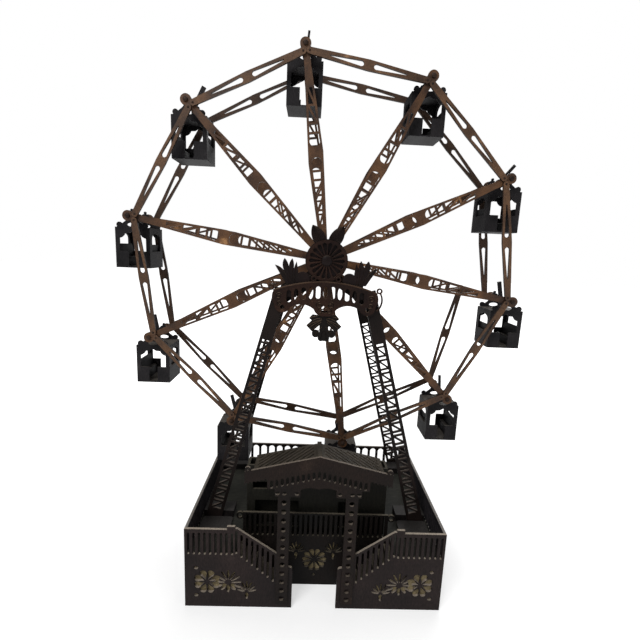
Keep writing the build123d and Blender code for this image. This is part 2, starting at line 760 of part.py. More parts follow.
with BuildSketch() as left_leg:
    add(right_leg.sketch)
    mirror(about=Plane.YZ, mode=Mode.REPLACE)

with BuildSketch() as head_plate:
    Circle(HEAD_R)
    for arm_x in (LEG_NECK_X, -LEG_NECK_X):
        strut((0, -LEG_TOP_DROP * 0.4), (arm_x, -LEG_NECK_DROP), HEAD_ARM_W)
        with Locations((arm_x, -LEG_NECK_DROP)):
            Circle(HEAD_ARM_W / 2)
    Circle(AXLE_R + FIT, mode=Mode.SUBTRACT)

LEG_FACE = TOWER_REACH + SHEET
for place, leg_plane, head_plane in (
    ("front", ahead(LEG_FACE, HUB_HEIGHT), ahead(TOWER_REACH, HUB_HEIGHT)),
    ("rear", behind(LEG_FACE, HUB_HEIGHT), behind(TOWER_REACH, HUB_HEIGHT)),
):
    for side, leg_sketch in (("left", left_leg), ("right", right_leg)):
        with BuildPart() as leg:
            with BuildSketch(leg_plane):
                add(leg_sketch.sketch)
            extrude(amount=SHEET)
        finish(leg, f"{place}_{side}_leg")
    with BuildPart() as head:
        with BuildSketch(head_plane):
            add(head_plate.sketch)
        extrude(amount=SHEET)
    finish(head, f"{place}_head_plate")

with BuildPart() as leg_feet:
    with BuildSketch(Plane(origin=(0, WHEEL_Y - LEG_FACE - SHEET, DECK_TOP))):
        with Locations((LEG_FOOT_X - FOOT_IN, 0), (FOOT_IN - LEG_FOOT_X, 0)):
            RectangleRounded(FOOT_PLATE_W, FOOT_PLATE_D, 4, align=(Align.CENTER, Align.MAX))
    extrude(amount=SHEET)
    with BuildSketch(
        Plane(origin=(0, WHEEL_Y - LEG_FACE, DECK_TOP)),
        Plane(origin=(0, WHEEL_Y + LEG_FACE - FOOT_BLOCK_D, DECK_TOP)),
    ):
        with Locations((LEG_FOOT_X - FOOT_IN, 0), (FOOT_IN - LEG_FOOT_X, 0)):
            Rectangle(FOOT_BLOCK_W, FOOT_BLOCK_D, align=(Align.CENTER, Align.MIN))
    extrude(amount=FOOT_BLOCK_H)
finish(leg_feet, "leg_feet")


# ---- hub ornaments -------------------------------------------------------------------
with BuildSketch() as leaf:
    with BuildLine():
        ThreePointArc((0, -LEAF_W * 0.32), (LEAF_BLADE * 0.5, -LEAF_W / 2), (LEAF_BLADE, 0))
        ThreePointArc((LEAF_BLADE, 0), (LEAF_BLADE * 0.5, LEAF_W / 2), (0, LEAF_W * 0.32))
        Line((0, LEAF_W * 0.32), (0, -LEAF_W * 0.32))
    make_face()

with BuildPart() as hub_leaves:
    with BuildSketch(ahead(LEG_FACE, HUB_HEIGHT)):
        Circle(LEAF_RING_R)
        for side, lean in ((1, LEAF_LEAN), (-1, 180 - LEAF_LEAN)):
            with Locations(Location((side * LEAF_ROOT[0], LEAF_ROOT[1], 0), (0, 0, lean))):
                add(leaf.sketch)
        Circle(AXLE_R + FIT, mode=Mode.SUBTRACT)
    extrude(amount=SHEET)
finish(hub_leaves, "hub_leaves")

ORNAMENT_FACE = LEG_FACE + SHEET
SIGN_FACE = ORNAMENT_FACE + SHEET
PETAL_END = ROSETTE_R - ROSETTE_RING
PETAL_W = 2 * math.pi * PETAL_END / ROSETTE_PETALS - 2.6
with BuildSketch() as petal:
    Polygon(
        (ROSETTE_BOSS_R, -0.4),
        (PETAL_END - PETAL_W / 2, -PETAL_W / 2),
        (PETAL_END - PETAL_W / 2, PETAL_W / 2),
        (ROSETTE_BOSS_R, 0.4),
        align=None,
    )
    with Locations((PETAL_END - PETAL_W / 2, 0)):
        Circle(PETAL_W / 2)

with BuildPart() as hub_rosette:
    with BuildSketch(ahead(ORNAMENT_FACE, HUB_HEIGHT)):
        Circle(ROSETTE_R)
        with PolarLocations(0, ROSETTE_PETALS):
            add(petal.sketch, mode=Mode.SUBTRACT)
    extrude(amount=SHEET)
finish(hub_rosette, "hub_rosette")

SIGN_HALF = SIGN_W / 2
SIGN_BOW = SIGN_END_DROP - SIGN_TOP_DROP
SIGN_TOP_MID = (SIGN_HALF * 0.52, -SIGN_TOP_DROP - SIGN_BOW * 0.27)
with BuildSketch() as sign_shape:
    with BuildLine():
        ThreePointArc((0, -SIGN_TOP_DROP), SIGN_TOP_MID, (SIGN_HALF, -SIGN_END_DROP))
        ThreePointArc(
            (SIGN_HALF, -SIGN_END_DROP),
            (SIGN_HALF + 1.4, -SIGN_END_DROP - 8),
            (SIGN_HALF - 1.5, -SIGN_END_DROP - 15),
        )
        ThreePointArc(
            (SIGN_HALF - 1.5, -SIGN_END_DROP - 15),
            (SIGN_HALF - 4.5, -SIGN_LOBE_DROP + 2.5),
            (SIGN_HALF - 11, -SIGN_LOBE_DROP),
        )
        ThreePointArc(
            (SIGN_HALF - 11, -SIGN_LOBE_DROP),
            (SIGN_HALF - 17.5, -SIGN_LOBE_DROP + 2.5),
            (SIGN_HALF - 20.5, -SIGN_LOBE_DROP + 6.5),
        )
        ThreePointArc(
            (SIGN_HALF - 20.5, -SIGN_LOBE_DROP + 6.5),
            (SIGN_HALF - 34, -SIGN_ARC_DROP),
            (SIGN_MEDAL_W / 2, -SIGN_ARC_DROP - 5.5),
        )
        ThreePointArc(
            (SIGN_MEDAL_W / 2, -SIGN_ARC_DROP - 5.5),
            (SIGN_MEDAL_W / 3, -SIGN_MEDAL_DROP + 1.8),
            (0, -SIGN_MEDAL_DROP),
        )
        mirror(about=Plane.YZ)
    make_face()
    for place in range(SIGN_SLOTS):
        slot_x = (place - (SIGN_SLOTS - 1) / 2) * SIGN_SLOT_SHARE * SIGN_W
        slot_z = -SIGN_TOP_DROP - SIGN_BOW * (slot_x / SIGN_HALF) ** 2 - SIGN_SLOT_INSET - SIGN_SLOT_H / 2
        with Locations((slot_x, slot_z)):
            if place % 2:
                Ellipse(SIGN_SLOT_W / 2, SIGN_SLOT_H / 2, mode=Mode.SUBTRACT)
            else:
                SlotOverall(SIGN_SLOT_H, SIGN_SLOT_W, rotation=90, mode=Mode.SUBTRACT)
    with Locations((0, -SIGN_MEDAL_DROP + 8)):
        Circle(4.2, mode=Mode.SUBTRACT)
        Circle(2)
        Rectangle(9, 1.2)
    with Locations((SIGN_HALF - 11, -SIGN_LOBE_DROP + 6.5), (11 - SIGN_HALF, -SIGN_LOBE_DROP + 6.5)):
        Circle(2.6, mode=Mode.SUBTRACT)

with BuildPart() as arch_sign:
    with BuildSketch(ahead(SIGN_FACE, HUB_HEIGHT)):
        add(sign_shape.sketch)
    extrude(amount=SHEET)
finish(arch_sign, "arch_sign")

# A thin rail follows the sign's top edge and carries open scroll rings. A hook curls
# down beside the sign's right end.
with BuildSketch() as trim_shape:
    with BuildLine():
        ThreePointArc((0, -SIGN_TOP_DROP), SIGN_TOP_MID, (SIGN_HALF, -SIGN_END_DROP))
        Line((SIGN_HALF, -SIGN_END_DROP), (SIGN_HALF, TRIM_RAIL - SIGN_END_DROP))
        ThreePointArc(
            (SIGN_HALF, TRIM_RAIL - SIGN_END_DROP),
            (SIGN_TOP_MID[0], SIGN_TOP_MID[1] + TRIM_RAIL),
            (0, TRIM_RAIL - SIGN_TOP_DROP),
        )
        mirror(about=Plane.YZ)
    make_face()
    for scroll_x, lift in ((SCROLL_X, 0.2), (SIGN_HALF + SCROLL_R * 0.7, -SIGN_BOW)):
        with Locations(
            (scroll_x, TRIM_RAIL + SCROLL_R - 1 - SIGN_TOP_DROP + lift),
            (-scroll_x, TRIM_RAIL + SCROLL_R - 1 - SIGN_TOP_DROP + lift),
        ):
            Circle(SCROLL_R)
            Circle(SCROLL_R - SCROLL_W, mode=Mode.SUBTRACT)

HOOK_X = SIGN_HALF + SCROLL_R
HOOK_Z = TRIM_RAIL - SIGN_END_DROP
with BuildSketch() as right_hook:
    with BuildLine():
        ThreePointArc((HOOK_X, HOOK_Z), (HOOK_X + 2.4, HOOK_Z - 11), (HOOK_X - 2.6, HOOK_Z - 21))
        offset(amount=SCROLL_W / 2, side=Side.BOTH)
    make_face()

with BuildPart() as sign_scrolls:
    with BuildSketch(ahead(SIGN_FACE, HUB_HEIGHT)):
        add(trim_shape.sketch)
        add(right_hook.sketch)
    extrude(amount=SHEET)
finish(sign_scrolls, "sign_scrolls")

with BuildPart() as leaf_pendant:
    with BuildSketch(ahead(ORNAMENT_FACE, HUB_HEIGHT)):
        Polygon(
            (0, -PENDANT_BOTTOM_DROP),
            (5, 8 - PENDANT_BOTTOM_DROP),
            (6, 6 - SIGN_MEDAL_DROP),
            (-6, 6 - SIGN_MEDAL_DROP),
            (-5, 8 - PENDANT_BOTTOM_DROP),
            align=None,
        )
        for side in (1, -1):
            Polygon(*sorted_turn([
                (side * 2, -PENDANT_BOTTOM_DROP + 23),
                (side * 14, -PENDANT_BOTTOM_DROP + 12),
                (side * 21, -PENDANT_BOTTOM_DROP + 19),
                (side * 14, -PENDANT_BOTTOM_DROP + 26),
                (side * 2, -PENDANT_BOTTOM_DROP + 30),
            ]), align=None)
            Polygon(*sorted_turn([
                (side * 2, -SIGN_MEDAL_DROP - 8),
                (side * 12, -SIGN_MEDAL_DROP - 8),
                (side * 18, -SIGN_MEDAL_DROP - 3.5),
                (side * 14, -SIGN_MEDAL_DROP + 1),
                (side * 4, -SIGN_MEDAL_DROP),
            ]), align=None)
            with Locations((side * 9.5, 9.5 - PENDANT_BOTTOM_DROP)):
                Circle(4.6)
            with Locations((side * 3, 4.5 - PENDANT_BOTTOM_DROP)):
                Circle(4)
    extrude(amount=SHEET)
finish(leaf_pendant, "leaf_pendant")

with BuildSketch() as right_crown:
    with BuildLine():
        Polyline((CROWN_X - CROWN_W / 2, 0), (CROWN_X + CROWN_W / 2, 0))
        tips = [
            ((CROWN_X + CROWN_W / 2, 0), (CROWN_X + 16, CROWN_H * 0.5), (CROWN_X + 20, CROWN_H * 0.72)),
            ((CROWN_X + 20, CROWN_H * 0.72), (CROWN_X + 13, CROWN_H * 0.62), (CROWN_X + 9, CROWN_H * 0.5)),
            ((CROWN_X + 9, CROWN_H * 0.5), (CROWN_X + 11, CROWN_H * 0.8), (CROWN_X + 9, CROWN_H)),
            ((CROWN_X + 9, CROWN_H), (CROWN_X + 5, CROWN_H * 0.8), (CROWN_X + 3.6, CROWN_H * 0.56)),
            ((CROWN_X + 3.6, CROWN_H * 0.56), (CROWN_X + 3, CROWN_H * 0.82), (CROWN_X, CROWN_H)),
            ((CROWN_X, CROWN_H), (CROWN_X - 2, CROWN_H * 0.78), (CROWN_X - 1.4, CROWN_H * 0.5)),
            ((CROWN_X - 1.4, CROWN_H * 0.5), (CROWN_X - 3.5, CROWN_H * 0.75), (CROWN_X - 5, CROWN_H * 0.88)),
            ((CROWN_X - 5, CROWN_H * 0.88), (CROWN_X - 7, CROWN_H * 0.5), (CROWN_X - CROWN_W / 2, 0)),
        ]
        for start, middle, end in tips:
            ThreePointArc(start, middle, end)
    make_face()
    Polygon(
        (CROWN_X - 6, 0),
        (CROWN_X - 6, -CROWN_TAIL),
        (CROWN_X + CROWN_TAIL_OUT, -CROWN_TAIL),
        (CROWN_X + CROWN_TAIL_OUT, -CROWN_TAIL / 2),
        (CROWN_X + 4, -CROWN_TAIL / 2),
        (CROWN_X + 4, 0),
        align=None,
    )
    with Locations((CROWN_LOBE_X, CROWN_LOBE_R * 0.65)):
        Circle(CROWN_LOBE_R)

with BuildPart() as acanthus_crowns:
    with BuildSketch(ahead(ORNAMENT_FACE, HUB_HEIGHT - CROWN_DROP)):
        add(right_crown.sketch)
        mirror(about=Plane.YZ)
    extrude(amount=SHEET)
finish(acanthus_crowns, "acanthus_crowns")


# ---- platform: cut-out flowers -----------------------------------------------------------
def flower(radius, petals, turn=0.0):
    """Tear-shaped petals standing round a solid heart, to be cut out of a wall."""
    gap = 0.5 * math.sin(math.pi / petals)
    round_r = (radius * math.sin(math.pi / petals) - gap) / (1 + math.sin(math.pi / petals))
    heart = radius * DAISY_HEART
    for petal_no in range(petals):
        petal_turn = turn + petal_no * 360 / petals
        middle = polar(radius - round_r, petal_turn)
        side = polar(round_r, petal_turn + 90)
        with Locations(middle):
            Circle(round_r)
        Polygon(
            polar(heart, petal_turn),
            (middle[0] - side[0], middle[1] - side[1]),
            (middle[0] + side[0], middle[1] + side[1]),
            align=None,
        )


with BuildSketch() as daisy:
    flower(DAISY_R, DAISY_PETALS, turn=22.5)

with BuildSketch() as recess_daisy:
    flower(RECESS_DAISY_R, RECESS_PETALS)

with BuildSketch() as aster:
    with PolarLocations(ASTER_R * 0.74, 9, start_angle=-25, angular_range=230, endpoint=True):
        Ellipse(ASTER_R * 0.46, ASTER_R * 0.1)
    with PolarLocations(ASTER_R * 0.6, 3, start_angle=-130, angular_range=80, endpoint=True):
        Ellipse(ASTER_R * 0.36, ASTER_R * 0.17)

with BuildSketch() as spray:
    for ray in range(7):
        turn = 15 + ray * 25
        ray_r = SPRAY_R * (0.8 + 0.2 * math.sin(math.pi * ray / 6))
        with Locations(Location((*polar(ray_r * 0.6, turn), 0), (0, 0, turn))):
            Ellipse(ray_r * 0.4, SPRAY_R * 0.085)
    with Locations((0, -SPRAY_R * 0.35)):
        Ellipse(SPRAY_R * 0.14, SPRAY_R * 0.3)


# ---- platform: walls -----------------------------------------------------------------------
WALL_BACK = BASE_FRONT - SHEET                     # reach of the front walls' back face
RAIL_SLOPE = (FENCE_TOP + 1.5 - STAIR_LOW_RAIL) / (STAIR_TOP_X - STAIR_LOW_X)
NEWEL_X = STAIR_TOP_X + NEWEL_W / 2 + 2.5
NEWEL_IN = NEWEL_X - NEWEL_W / 2
SLOT_TOP = FENCE_TOP - FENCE_CAP


def handrail(x):
    """Height of the sloping handrail's top at a distance x from the middle."""
    return STAIR_LOW_RAIL + (x - STAIR_LOW_X) * RAIL_SLOPE


def fence_slot(x, bottom, top):
    """One round-ended slot of a fence, cut away."""
    with Locations((x, (bottom + top) / 2)):
        SlotOverall(top - bottom, FENCE_SLOT_W, rotation=90, mode=Mode.SUBTRACT)


def fence_run(start, end, top):
    """Evenly spaced slots between two places along a level fence."""
    count = int((end - start - FENCE_SLOT_W) / FENCE_PITCH)
    first = (start + end - count * FENCE_PITCH) / 2
    for i in range(count + 1):
        fence_slot(first + i * FENCE_PITCH, FENCE_SLOT_BOTTOM, top)


DAISY_X = BASE_HALF - DAISY_IN
ASTER_X = BASE_HALF - ASTER_IN
SPRAY_X = BASE_HALF - SPRAY_IN
with BuildSketch() as right_wall:
    Polygon(
        (RECESS_HALF, 0),
        (BASE_HALF, 0),
        (BASE_HALF, FENCE_TOP),
        (NEWEL_IN + NEWEL_W, FENCE_TOP),
        (NEWEL_IN + NEWEL_W, FENCE_TOP + NEWEL_H),
        (NEWEL_IN, FENCE_TOP + NEWEL_H),
        (NEWEL_IN, handrail(STAIR_TOP_X)),
        (STAIR_TOP_X, handrail(STAIR_TOP_X)),
        (STAIR_LOW_X, STAIR_LOW_RAIL),
        (STAIR_LOW_X - 3.5, STAIR_LOW_RAIL - 2.5),
        (STAIR_LOW_X - 3.5, SHOULDER_H),
        (RECESS_HALF, SHOULDER_H),
        align=None,
    )
    fillet(right_wall.vertices().sort_by_distance((RECESS_HALF, SHOULDER_H))[0], SHOULDER_R)
    fence_run(NEWEL_IN + 2, BASE_HALF - SHEET, SLOT_TOP)
    for step in range(STAIR_STEPS):
        slot_x = STAIR_LOW_X + 2.1 + step * FENCE_PITCH * 0.98
        slot_low = STAIR_SLOT_LOW + (slot_x - STAIR_LOW_X) * STAIR_SLOT_RISE
        fence_slot(slot_x, slot_low, handrail(slot_x) - 3.5)
    with Locations((DAISY_X, DAISY_Z)):
        add(daisy.sketch, mode=Mode.SUBTRACT)
    with Locations((ASTER_X, ASTER_Z)):
        add(aster.sketch, mode=Mode.SUBTRACT)
    with Locations((SPRAY_X, SPRAY_Z)):
        add(spray.sketch, mode=Mode.SUBTRACT)
    with Locations((BASE_HALF - 13, DAISY_Z + 18), (BASE_HALF - 13, DAISY_Z - 18)):
        Ellipse(2.6, 2, mode=Mode.SUBTRACT)

with BuildPart() as front_walls:
    with BuildSketch(ahead(WALL_BACK)):
        add(right_wall.sketch)
        mirror(about=Plane.YZ)
    extrude(amount=SHEET)
finish(front_walls, "front_walls")

with BuildPart() as side_walls:
    with BuildSketch(
        across(BASE_HALF - SHEET),
        across(-BASE_HALF),
    ):
        Polygon(
            (WHEEL_Y - WALL_BACK, 0),
            (WHEEL_Y + BASE_REAR - SHEET, 0),
            (WHEEL_Y + BASE_REAR - SHEET, FENCE_TOP),
            (WHEEL_Y - WALL_BACK, FENCE_TOP),
            align=None,
        )
        fence_run(WHEEL_Y - WALL_BACK, WHEEL_Y + BASE_REAR - SHEET, SLOT_TOP)
    extrude(amount=SHEET)
finish(side_walls, "side_walls")

with BuildPart() as rear_wall:
    with BuildSketch(behind(BASE_REAR - SHEET)):
        Polygon(
            (-BASE_HALF, 0),
            (BASE_HALF, 0),
            (BASE_HALF, FENCE_TOP),
            (-BASE_HALF, FENCE_TOP),
            align=None,
        )
        arches = int((BASE_W - 2 * SHEET) / ARCH_PITCH)
        arch_top = FENCE_TOP - ARCH_TOP_RAIL
        for i in range(arches):
            with Locations(((i - (arches - 1) / 2) * ARCH_PITCH, 0)):
                Polygon(
                    (-ARCH_W / 2, DECK_TOP),
                    (ARCH_W / 2, DECK_TOP),
                    (ARCH_W / 2, arch_top - ARCH_W / 2),
                    (-ARCH_W / 2, arch_top - ARCH_W / 2),
                    align=None,
                    mode=Mode.SUBTRACT,
                )
            with Locations(((i - (arches - 1) / 2) * ARCH_PITCH, arch_top - ARCH_W / 2)):
                Circle(ARCH_W / 2, mode=Mode.SUBTRACT)
    extrude(amount=SHEET)
finish(rear_wall, "rear_wall")

RECESS_FACE = WALL_BACK - RECESS_DEPTH             # reach of the recess panel's back face
WELL_HALF = NEWEL_IN
with BuildSketch() as recess_shape:
    Polygon(
        (-WELL_HALF, 0),
        (WELL_HALF, 0),
        (WELL_HALF, DECK_TOP),
        (INNER_RAIL_HALF, DECK_TOP),
        (INNER_RAIL_HALF, INNER_RAIL_TOP),
        (-INNER_RAIL_HALF, INNER_RAIL_TOP),
        (-INNER_RAIL_HALF, DECK_TOP),
        (-WELL_HALF, DECK_TOP),
        align=None,
    )
    fence_run(SHEET - INNER_RAIL_HALF, INNER_RAIL_HALF - SHEET, INNER_RAIL_TOP - RAIL_CURL_W)
    with Locations((0, RECESS_DAISY_Z)):
        add(recess_daisy.sketch, mode=Mode.SUBTRACT)
    with Locations((RECESS_SPRAY_X, RECESS_SPRAY_Z), (-RECESS_SPRAY_X, RECESS_SPRAY_Z)):
        add(spray.sketch, mode=Mode.SUBTRACT)
    with Locations((0, RECESS_DAISY_Z - 21)):
        Ellipse(2.2, 1.7, mode=Mode.SUBTRACT)
    with Locations(
        (INNER_RAIL_HALF + RAIL_CURL_R - 1, INNER_RAIL_TOP - RAIL_CURL_R),
        (1 - INNER_RAIL_HALF - RAIL_CURL_R, INNER_RAIL_TOP - RAIL_CURL_R),
    ):
        Circle(RAIL_CURL_R)
        Circle(RAIL_CURL_R - RAIL_CURL_W, mode=Mode.SUBTRACT)

with BuildPart() as recess_panel:
    with BuildSketch(ahead(RECESS_FACE)):
        add(recess_shape.sketch)
    extrude(amount=SHEET)
finish(recess_panel, "recess_panel")

with BuildPart() as flower_backings:
    with BuildSketch(ahead(WALL_BACK - BACKING_T)):
        for side in (1, -1):
            Polygon(*sorted_turn([
                (side * (SPRAY_X - SPRAY_R - BACKING_MARGIN), BACKING_LOW),
                (side * (BASE_HALF - 2 * SHEET), BACKING_LOW),
                (side * (BASE_HALF - 2 * SHEET), DAISY_Z + DAISY_R + BACKING_MARGIN),
                (side * (ASTER_X - ASTER_R), DAISY_Z + DAISY_R + BACKING_MARGIN),
                (side * (SPRAY_X - SPRAY_R - BACKING_MARGIN), SPRAY_Z + SPRAY_R),
            ]), align=None)
    with BuildSketch(ahead(RECESS_FACE - BACKING_T)):
        with Locations((0, RECESS_DAISY_Z + 2)):
            Rectangle(2 * (RECESS_SPRAY_X + SPRAY_R + BACKING_MARGIN), 2 * RECESS_DAISY_R + 22)
    extrude(amount=BACKING_T)
finish(flower_backings, "flower_backings")

with BuildPart() as platform_deck:
    with BuildSketch(Plane(origin=(0, WHEEL_Y, DECK_TOP - SHEET))):
        Polygon(
            (SHEET - BASE_HALF, -WALL_BACK),
            (-WELL_HALF, -WALL_BACK),
            (-WELL_HALF, -RECESS_FACE),
            (WELL_HALF, -RECESS_FACE),
            (WELL_HALF, -WALL_BACK),
            (BASE_HALF - SHEET, -WALL_BACK),
            (BASE_HALF - SHEET, BASE_REAR - SHEET),
            (SHEET - BASE_HALF, BASE_REAR - SHEET),
            align=None,
        )
    extrude(amount=SHEET)
finish(platform_deck, "platform_deck")

STAIR_RUN = (WELL_HALF - STAIR_FOOT_X) / STAIR_STEPS
STAIR_RISE = (DECK_TOP - STAIR_FOOT_H) / STAIR_STEPS
treads = []
for step in range(STAIR_STEPS):
    x = STAIR_FOOT_X + step * STAIR_RUN
    z = STAIR_FOOT_H + step * STAIR_RISE
    treads += [(x, z - STAIR_RISE * 0.8 if step == 0 else z - STAIR_RISE), (x, z)]
treads.append((WELL_HALF, STAIR_FOOT_H + (STAIR_STEPS - 1) * STAIR_RISE))
with BuildSketch() as stair_shape:
    Polygon(
        *sorted_turn([
            *treads,
            (WELL_HALF, treads[-1][1] - STAIR_BODY - STAIR_RISE),
            (STAIR_FOOT_X + STAIR_RUN, treads[0][1]),
        ]),
        align=None,
    )
# Each flight ends at an upright cheek below the deck.
STAIR_FACE = RECESS_FACE + SHEET
STAIR_DEPTH = WALL_BACK - BACKING_T - 0.1 - STAIR_FACE
with BuildPart() as stairs:
    with BuildSketch(ahead(STAIR_FACE)):
        add(stair_shape.sketch)
        with Locations((WELL_HALF + SHEET / 2, (DECK_TOP - SHEET) / 2)):
            Rectangle(SHEET, DECK_TOP - SHEET)
        mirror(about=Plane.YZ)
    extrude(amount=STAIR_DEPTH)
finish(stairs, "stairs")


# ---- station front ----------------------------------------------------------------------------
with BuildSketch() as column_shape:
    for side in (1, -1):
        with Locations((side * COLUMN_X, (COLUMN_FOOT + CAPITAL_Z) / 2)):
            Rectangle(COLUMN_W, CAPITAL_Z - COLUMN_FOOT)
        with Locations((side * CAPITAL_X, CAPITAL_Z + CAPITAL_H / 2)):
            RectangleRounded(CAPITAL_W, CAPITAL_H, 1.5)
        for hole in range(COLUMN_HOLES):
            with Locations((side * COLUMN_X, COLUMN_FOOT + 7 + hole * COLUMN_HOLE_PITCH)):
                Circle(COLUMN_HOLE_R, mode=Mode.SUBTRACT)
        for hole_x in (COLUMN_X + CAPITAL_W * 0.27, COLUMN_X, CAPITAL_X - CAPITAL_W * 0.36):
            with Locations((side * hole_x, CAPITAL_Z + CAPITAL_H / 2 - 0.4)):
                Ellipse(COLUMN_HOLE_R * 0.9, COLUMN_HOLE_R * 0.7, mode=Mode.SUBTRACT)

with BuildPart() as sign_columns:
    with BuildSketch(ahead(BASE_FRONT)):
        add(column_shape.sketch)
    extrude(amount=SHEET)
finish(sign_columns, "sign_columns")

ROOF_SLOPE = (CANOPY_RIDGE_Z - CANOPY_EAVE_Z) / CANOPY_HALF
PORTAL_HALF = CAPITAL_X - CAPITAL_W / 2            # half the clear way between the capitals
BOARD_BOTTOM_Z = CAPITAL_Z + CAPITAL_H


def board_top(x):
    """Height of the gable board's top edge at a distance x from the middle."""
    return CANOPY_RIDGE_Z - x * ROOF_SLOPE


with BuildSketch() as board_shape:
    with BuildLine():
        Polyline(
            (0, CANOPY_RIDGE_Z),
            (BOARD_HALF, board_top(BOARD_HALF)),
            (BOARD_HALF, board_top(BOARD_HALF) - BOARD_FACIA),
            (BOARD_PLATE_HALF, board_top(BOARD_PLATE_HALF) - BOARD_FACIA),
            (BOARD_PLATE_HALF, BOARD_BOTTOM_Z),
            (PORTAL_HALF, BOARD_BOTTOM_Z),
        )
        ThreePointArc(
            (PORTAL_HALF, BOARD_BOTTOM_Z),
            (PORTAL_HALF / 2, BOARD_BOTTOM_Z + 2.4),
            (0, BOARD_BOTTOM_Z + 1),
        )
        mirror(about=Plane.YZ)
    make_face()
    for place in range(BOARD_SLOTS):
        slot_x = (place - (BOARD_SLOTS - 1) / 2) * BOARD_SLOT_PITCH
        with Locations((slot_x, board_top(abs(slot_x)) - BOARD_BAND_DROP)):
            if place % 2:
                Ellipse(BOARD_SLOT_W / 2, BOARD_BAND_H / 2, mode=Mode.SUBTRACT)
            else:
                SlotOverall(BOARD_BAND_H, BOARD_SLOT_W, rotation=90, mode=Mode.SUBTRACT)
    for end in (BOARD_HALF - BOARD_CURL_R, BOARD_CURL_R - BOARD_HALF):
        with Locations((end, board_top(BOARD_HALF) + BOARD_CURL_R * 0.7)):
            Circle(BOARD_CURL_R)
            Circle(BOARD_CURL_R / 3, mode=Mode.SUBTRACT)
    for nick in range(6):
        nick_x = BOARD_HALF - (nick + 0.5) * (BOARD_HALF - BOARD_PLATE_HALF) / 6
        for side in (1, -1):
            with Locations((side * nick_x, board_top(nick_x) - BOARD_FACIA)):
                Circle(BOARD_NICK_R, mode=Mode.SUBTRACT)

with BuildPart() as portal_board:
    with BuildSketch(ahead(BASE_FRONT)):
        add(board_shape.sketch)
    extrude(amount=SHEET)
finish(portal_board, "portal_board")

PITCH = math.degrees(math.atan2(CANOPY_RIDGE_Z - CANOPY_EAVE_Z, CANOPY_HALF))
SLAB_LENGTH = CANOPY_HALF / math.cos(math.radians(PITCH))
RIDGE_TOP = Vector(0, WHEEL_Y - BASE_FRONT, CANOPY_RIDGE_Z - CANOPY_HOLD_BACK)
RIDGE_HALF = CANOPY_T


def roof_gaps():
    """Middle and length of each gap between the slats, on one slope and clear of its border."""
    near = CANOPY_GAP_EDGE
    far = CANOPY_DEPTH - CANOPY_GAP_EDGE
    start = RIDGE_HALF + CANOPY_GAP_EDGE
    end = SLAB_LENGTH - CANOPY_GAP_EDGE
    run = (far - near) / math.tan(math.radians(CANOPY_GAP_TURN))
    for gap in range(int((end - start + run) / CANOPY_GAP_PITCH)):
        foot = start + (gap + 1) * CANOPY_GAP_PITCH
        first = max(0, (foot - end) / run)
        last = min(1, (foot - start) / run)
        length = (last - first) * run / math.cos(math.radians(CANOPY_GAP_TURN))
        if length >= CANOPY_GAP_MIN:
            middle = (first + last) / 2
            yield (foot - run * middle, near + (far - near) * middle), length


with BuildPart() as canopy_roof:
    for side in (1, -1):
        slab_plane = Plane(
            origin=RIDGE_TOP,
            x_dir=(side * math.cos(math.radians(PITCH)), 0, -math.sin(math.radians(PITCH))),
            z_dir=(side * math.sin(math.radians(PITCH)), 0, math.cos(math.radians(PITCH))),
        )
        with BuildSketch(slab_plane):
            Polygon(*sorted_turn([
                (0, 0),
                (SLAB_LENGTH, 0),
                (SLAB_LENGTH, side * CANOPY_DEPTH),
                (0, side * CANOPY_DEPTH),
            ]), align=None)
            for (gap_x, gap_depth), length in roof_gaps():
                with Locations((gap_x, side * gap_depth)):
                    SlotOverall(
                        length,
                        CANOPY_GAP_W,
                        rotation=-side * CANOPY_GAP_TURN,
                        mode=Mode.SUBTRACT,
                    )
        extrude(amount=-CANOPY_T)
    with BuildSketch(Plane(origin=RIDGE_TOP, x_dir=(1, 0, 0), z_dir=(0, 1, 0))):
        Rectangle(2 * RIDGE_HALF, CANOPY_T + 1.5)
    extrude(amount=CANOPY_DEPTH)
finish(canopy_roof, "canopy_roof")

BOOTH_WALL_H = BOOTH_TOP - DECK_TOP
with BuildSketch() as booth_front:
    Polygon(
        (-BOOTH_HALF, DECK_TOP),
        (BOOTH_HALF, DECK_TOP),
        (BOOTH_HALF, BOOTH_TOP),
        (-BOOTH_HALF, BOOTH_TOP),
        align=None,
    )
    for left, right, low, high in (
        (-BOOTH_HALF + 7, -BOOTH_HALF + 24.5, WINDOW_LOW, WINDOW_HIGH),
        (-BOOTH_HALF + 10, -22, COUNTER_LOW, COUNTER_TOP),
        (27, 47, COUNTER_LOW, COUNTER_TOP),
    ):
        Polygon((left, low), (right, low), (right, high), (left, high), align=None, mode=Mode.SUBTRACT)

with BuildPart() as booth_walls:
    with BuildSketch(ahead(BOOTH_FRONT - SHEET)):
        add(booth_front.sketch)
    with BuildSketch(ahead(BOOTH_FRONT - BOOTH_DEPTH)):
        with Locations((0, DECK_TOP + BOOTH_WALL_H / 2)):
            Rectangle(2 * BOOTH_HALF, BOOTH_WALL_H)
    extrude(amount=SHEET)
    with BuildSketch(
        across(BOOTH_HALF - SHEET, WHEEL_Y - BOOTH_FRONT + BOOTH_DEPTH / 2, DECK_TOP),
        across(-BOOTH_HALF, WHEEL_Y - BOOTH_FRONT + BOOTH_DEPTH / 2, DECK_TOP),
    ):
        Rectangle(
            BOOTH_DEPTH - 2 * SHEET,
            BOOTH_WALL_H,
            align=(Align.CENTER, Align.MIN),
        )
    extrude(amount=SHEET)
finish(booth_walls, "booth_walls")
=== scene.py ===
import math

import bmesh
import bpy
from mathutils import Matrix, Vector


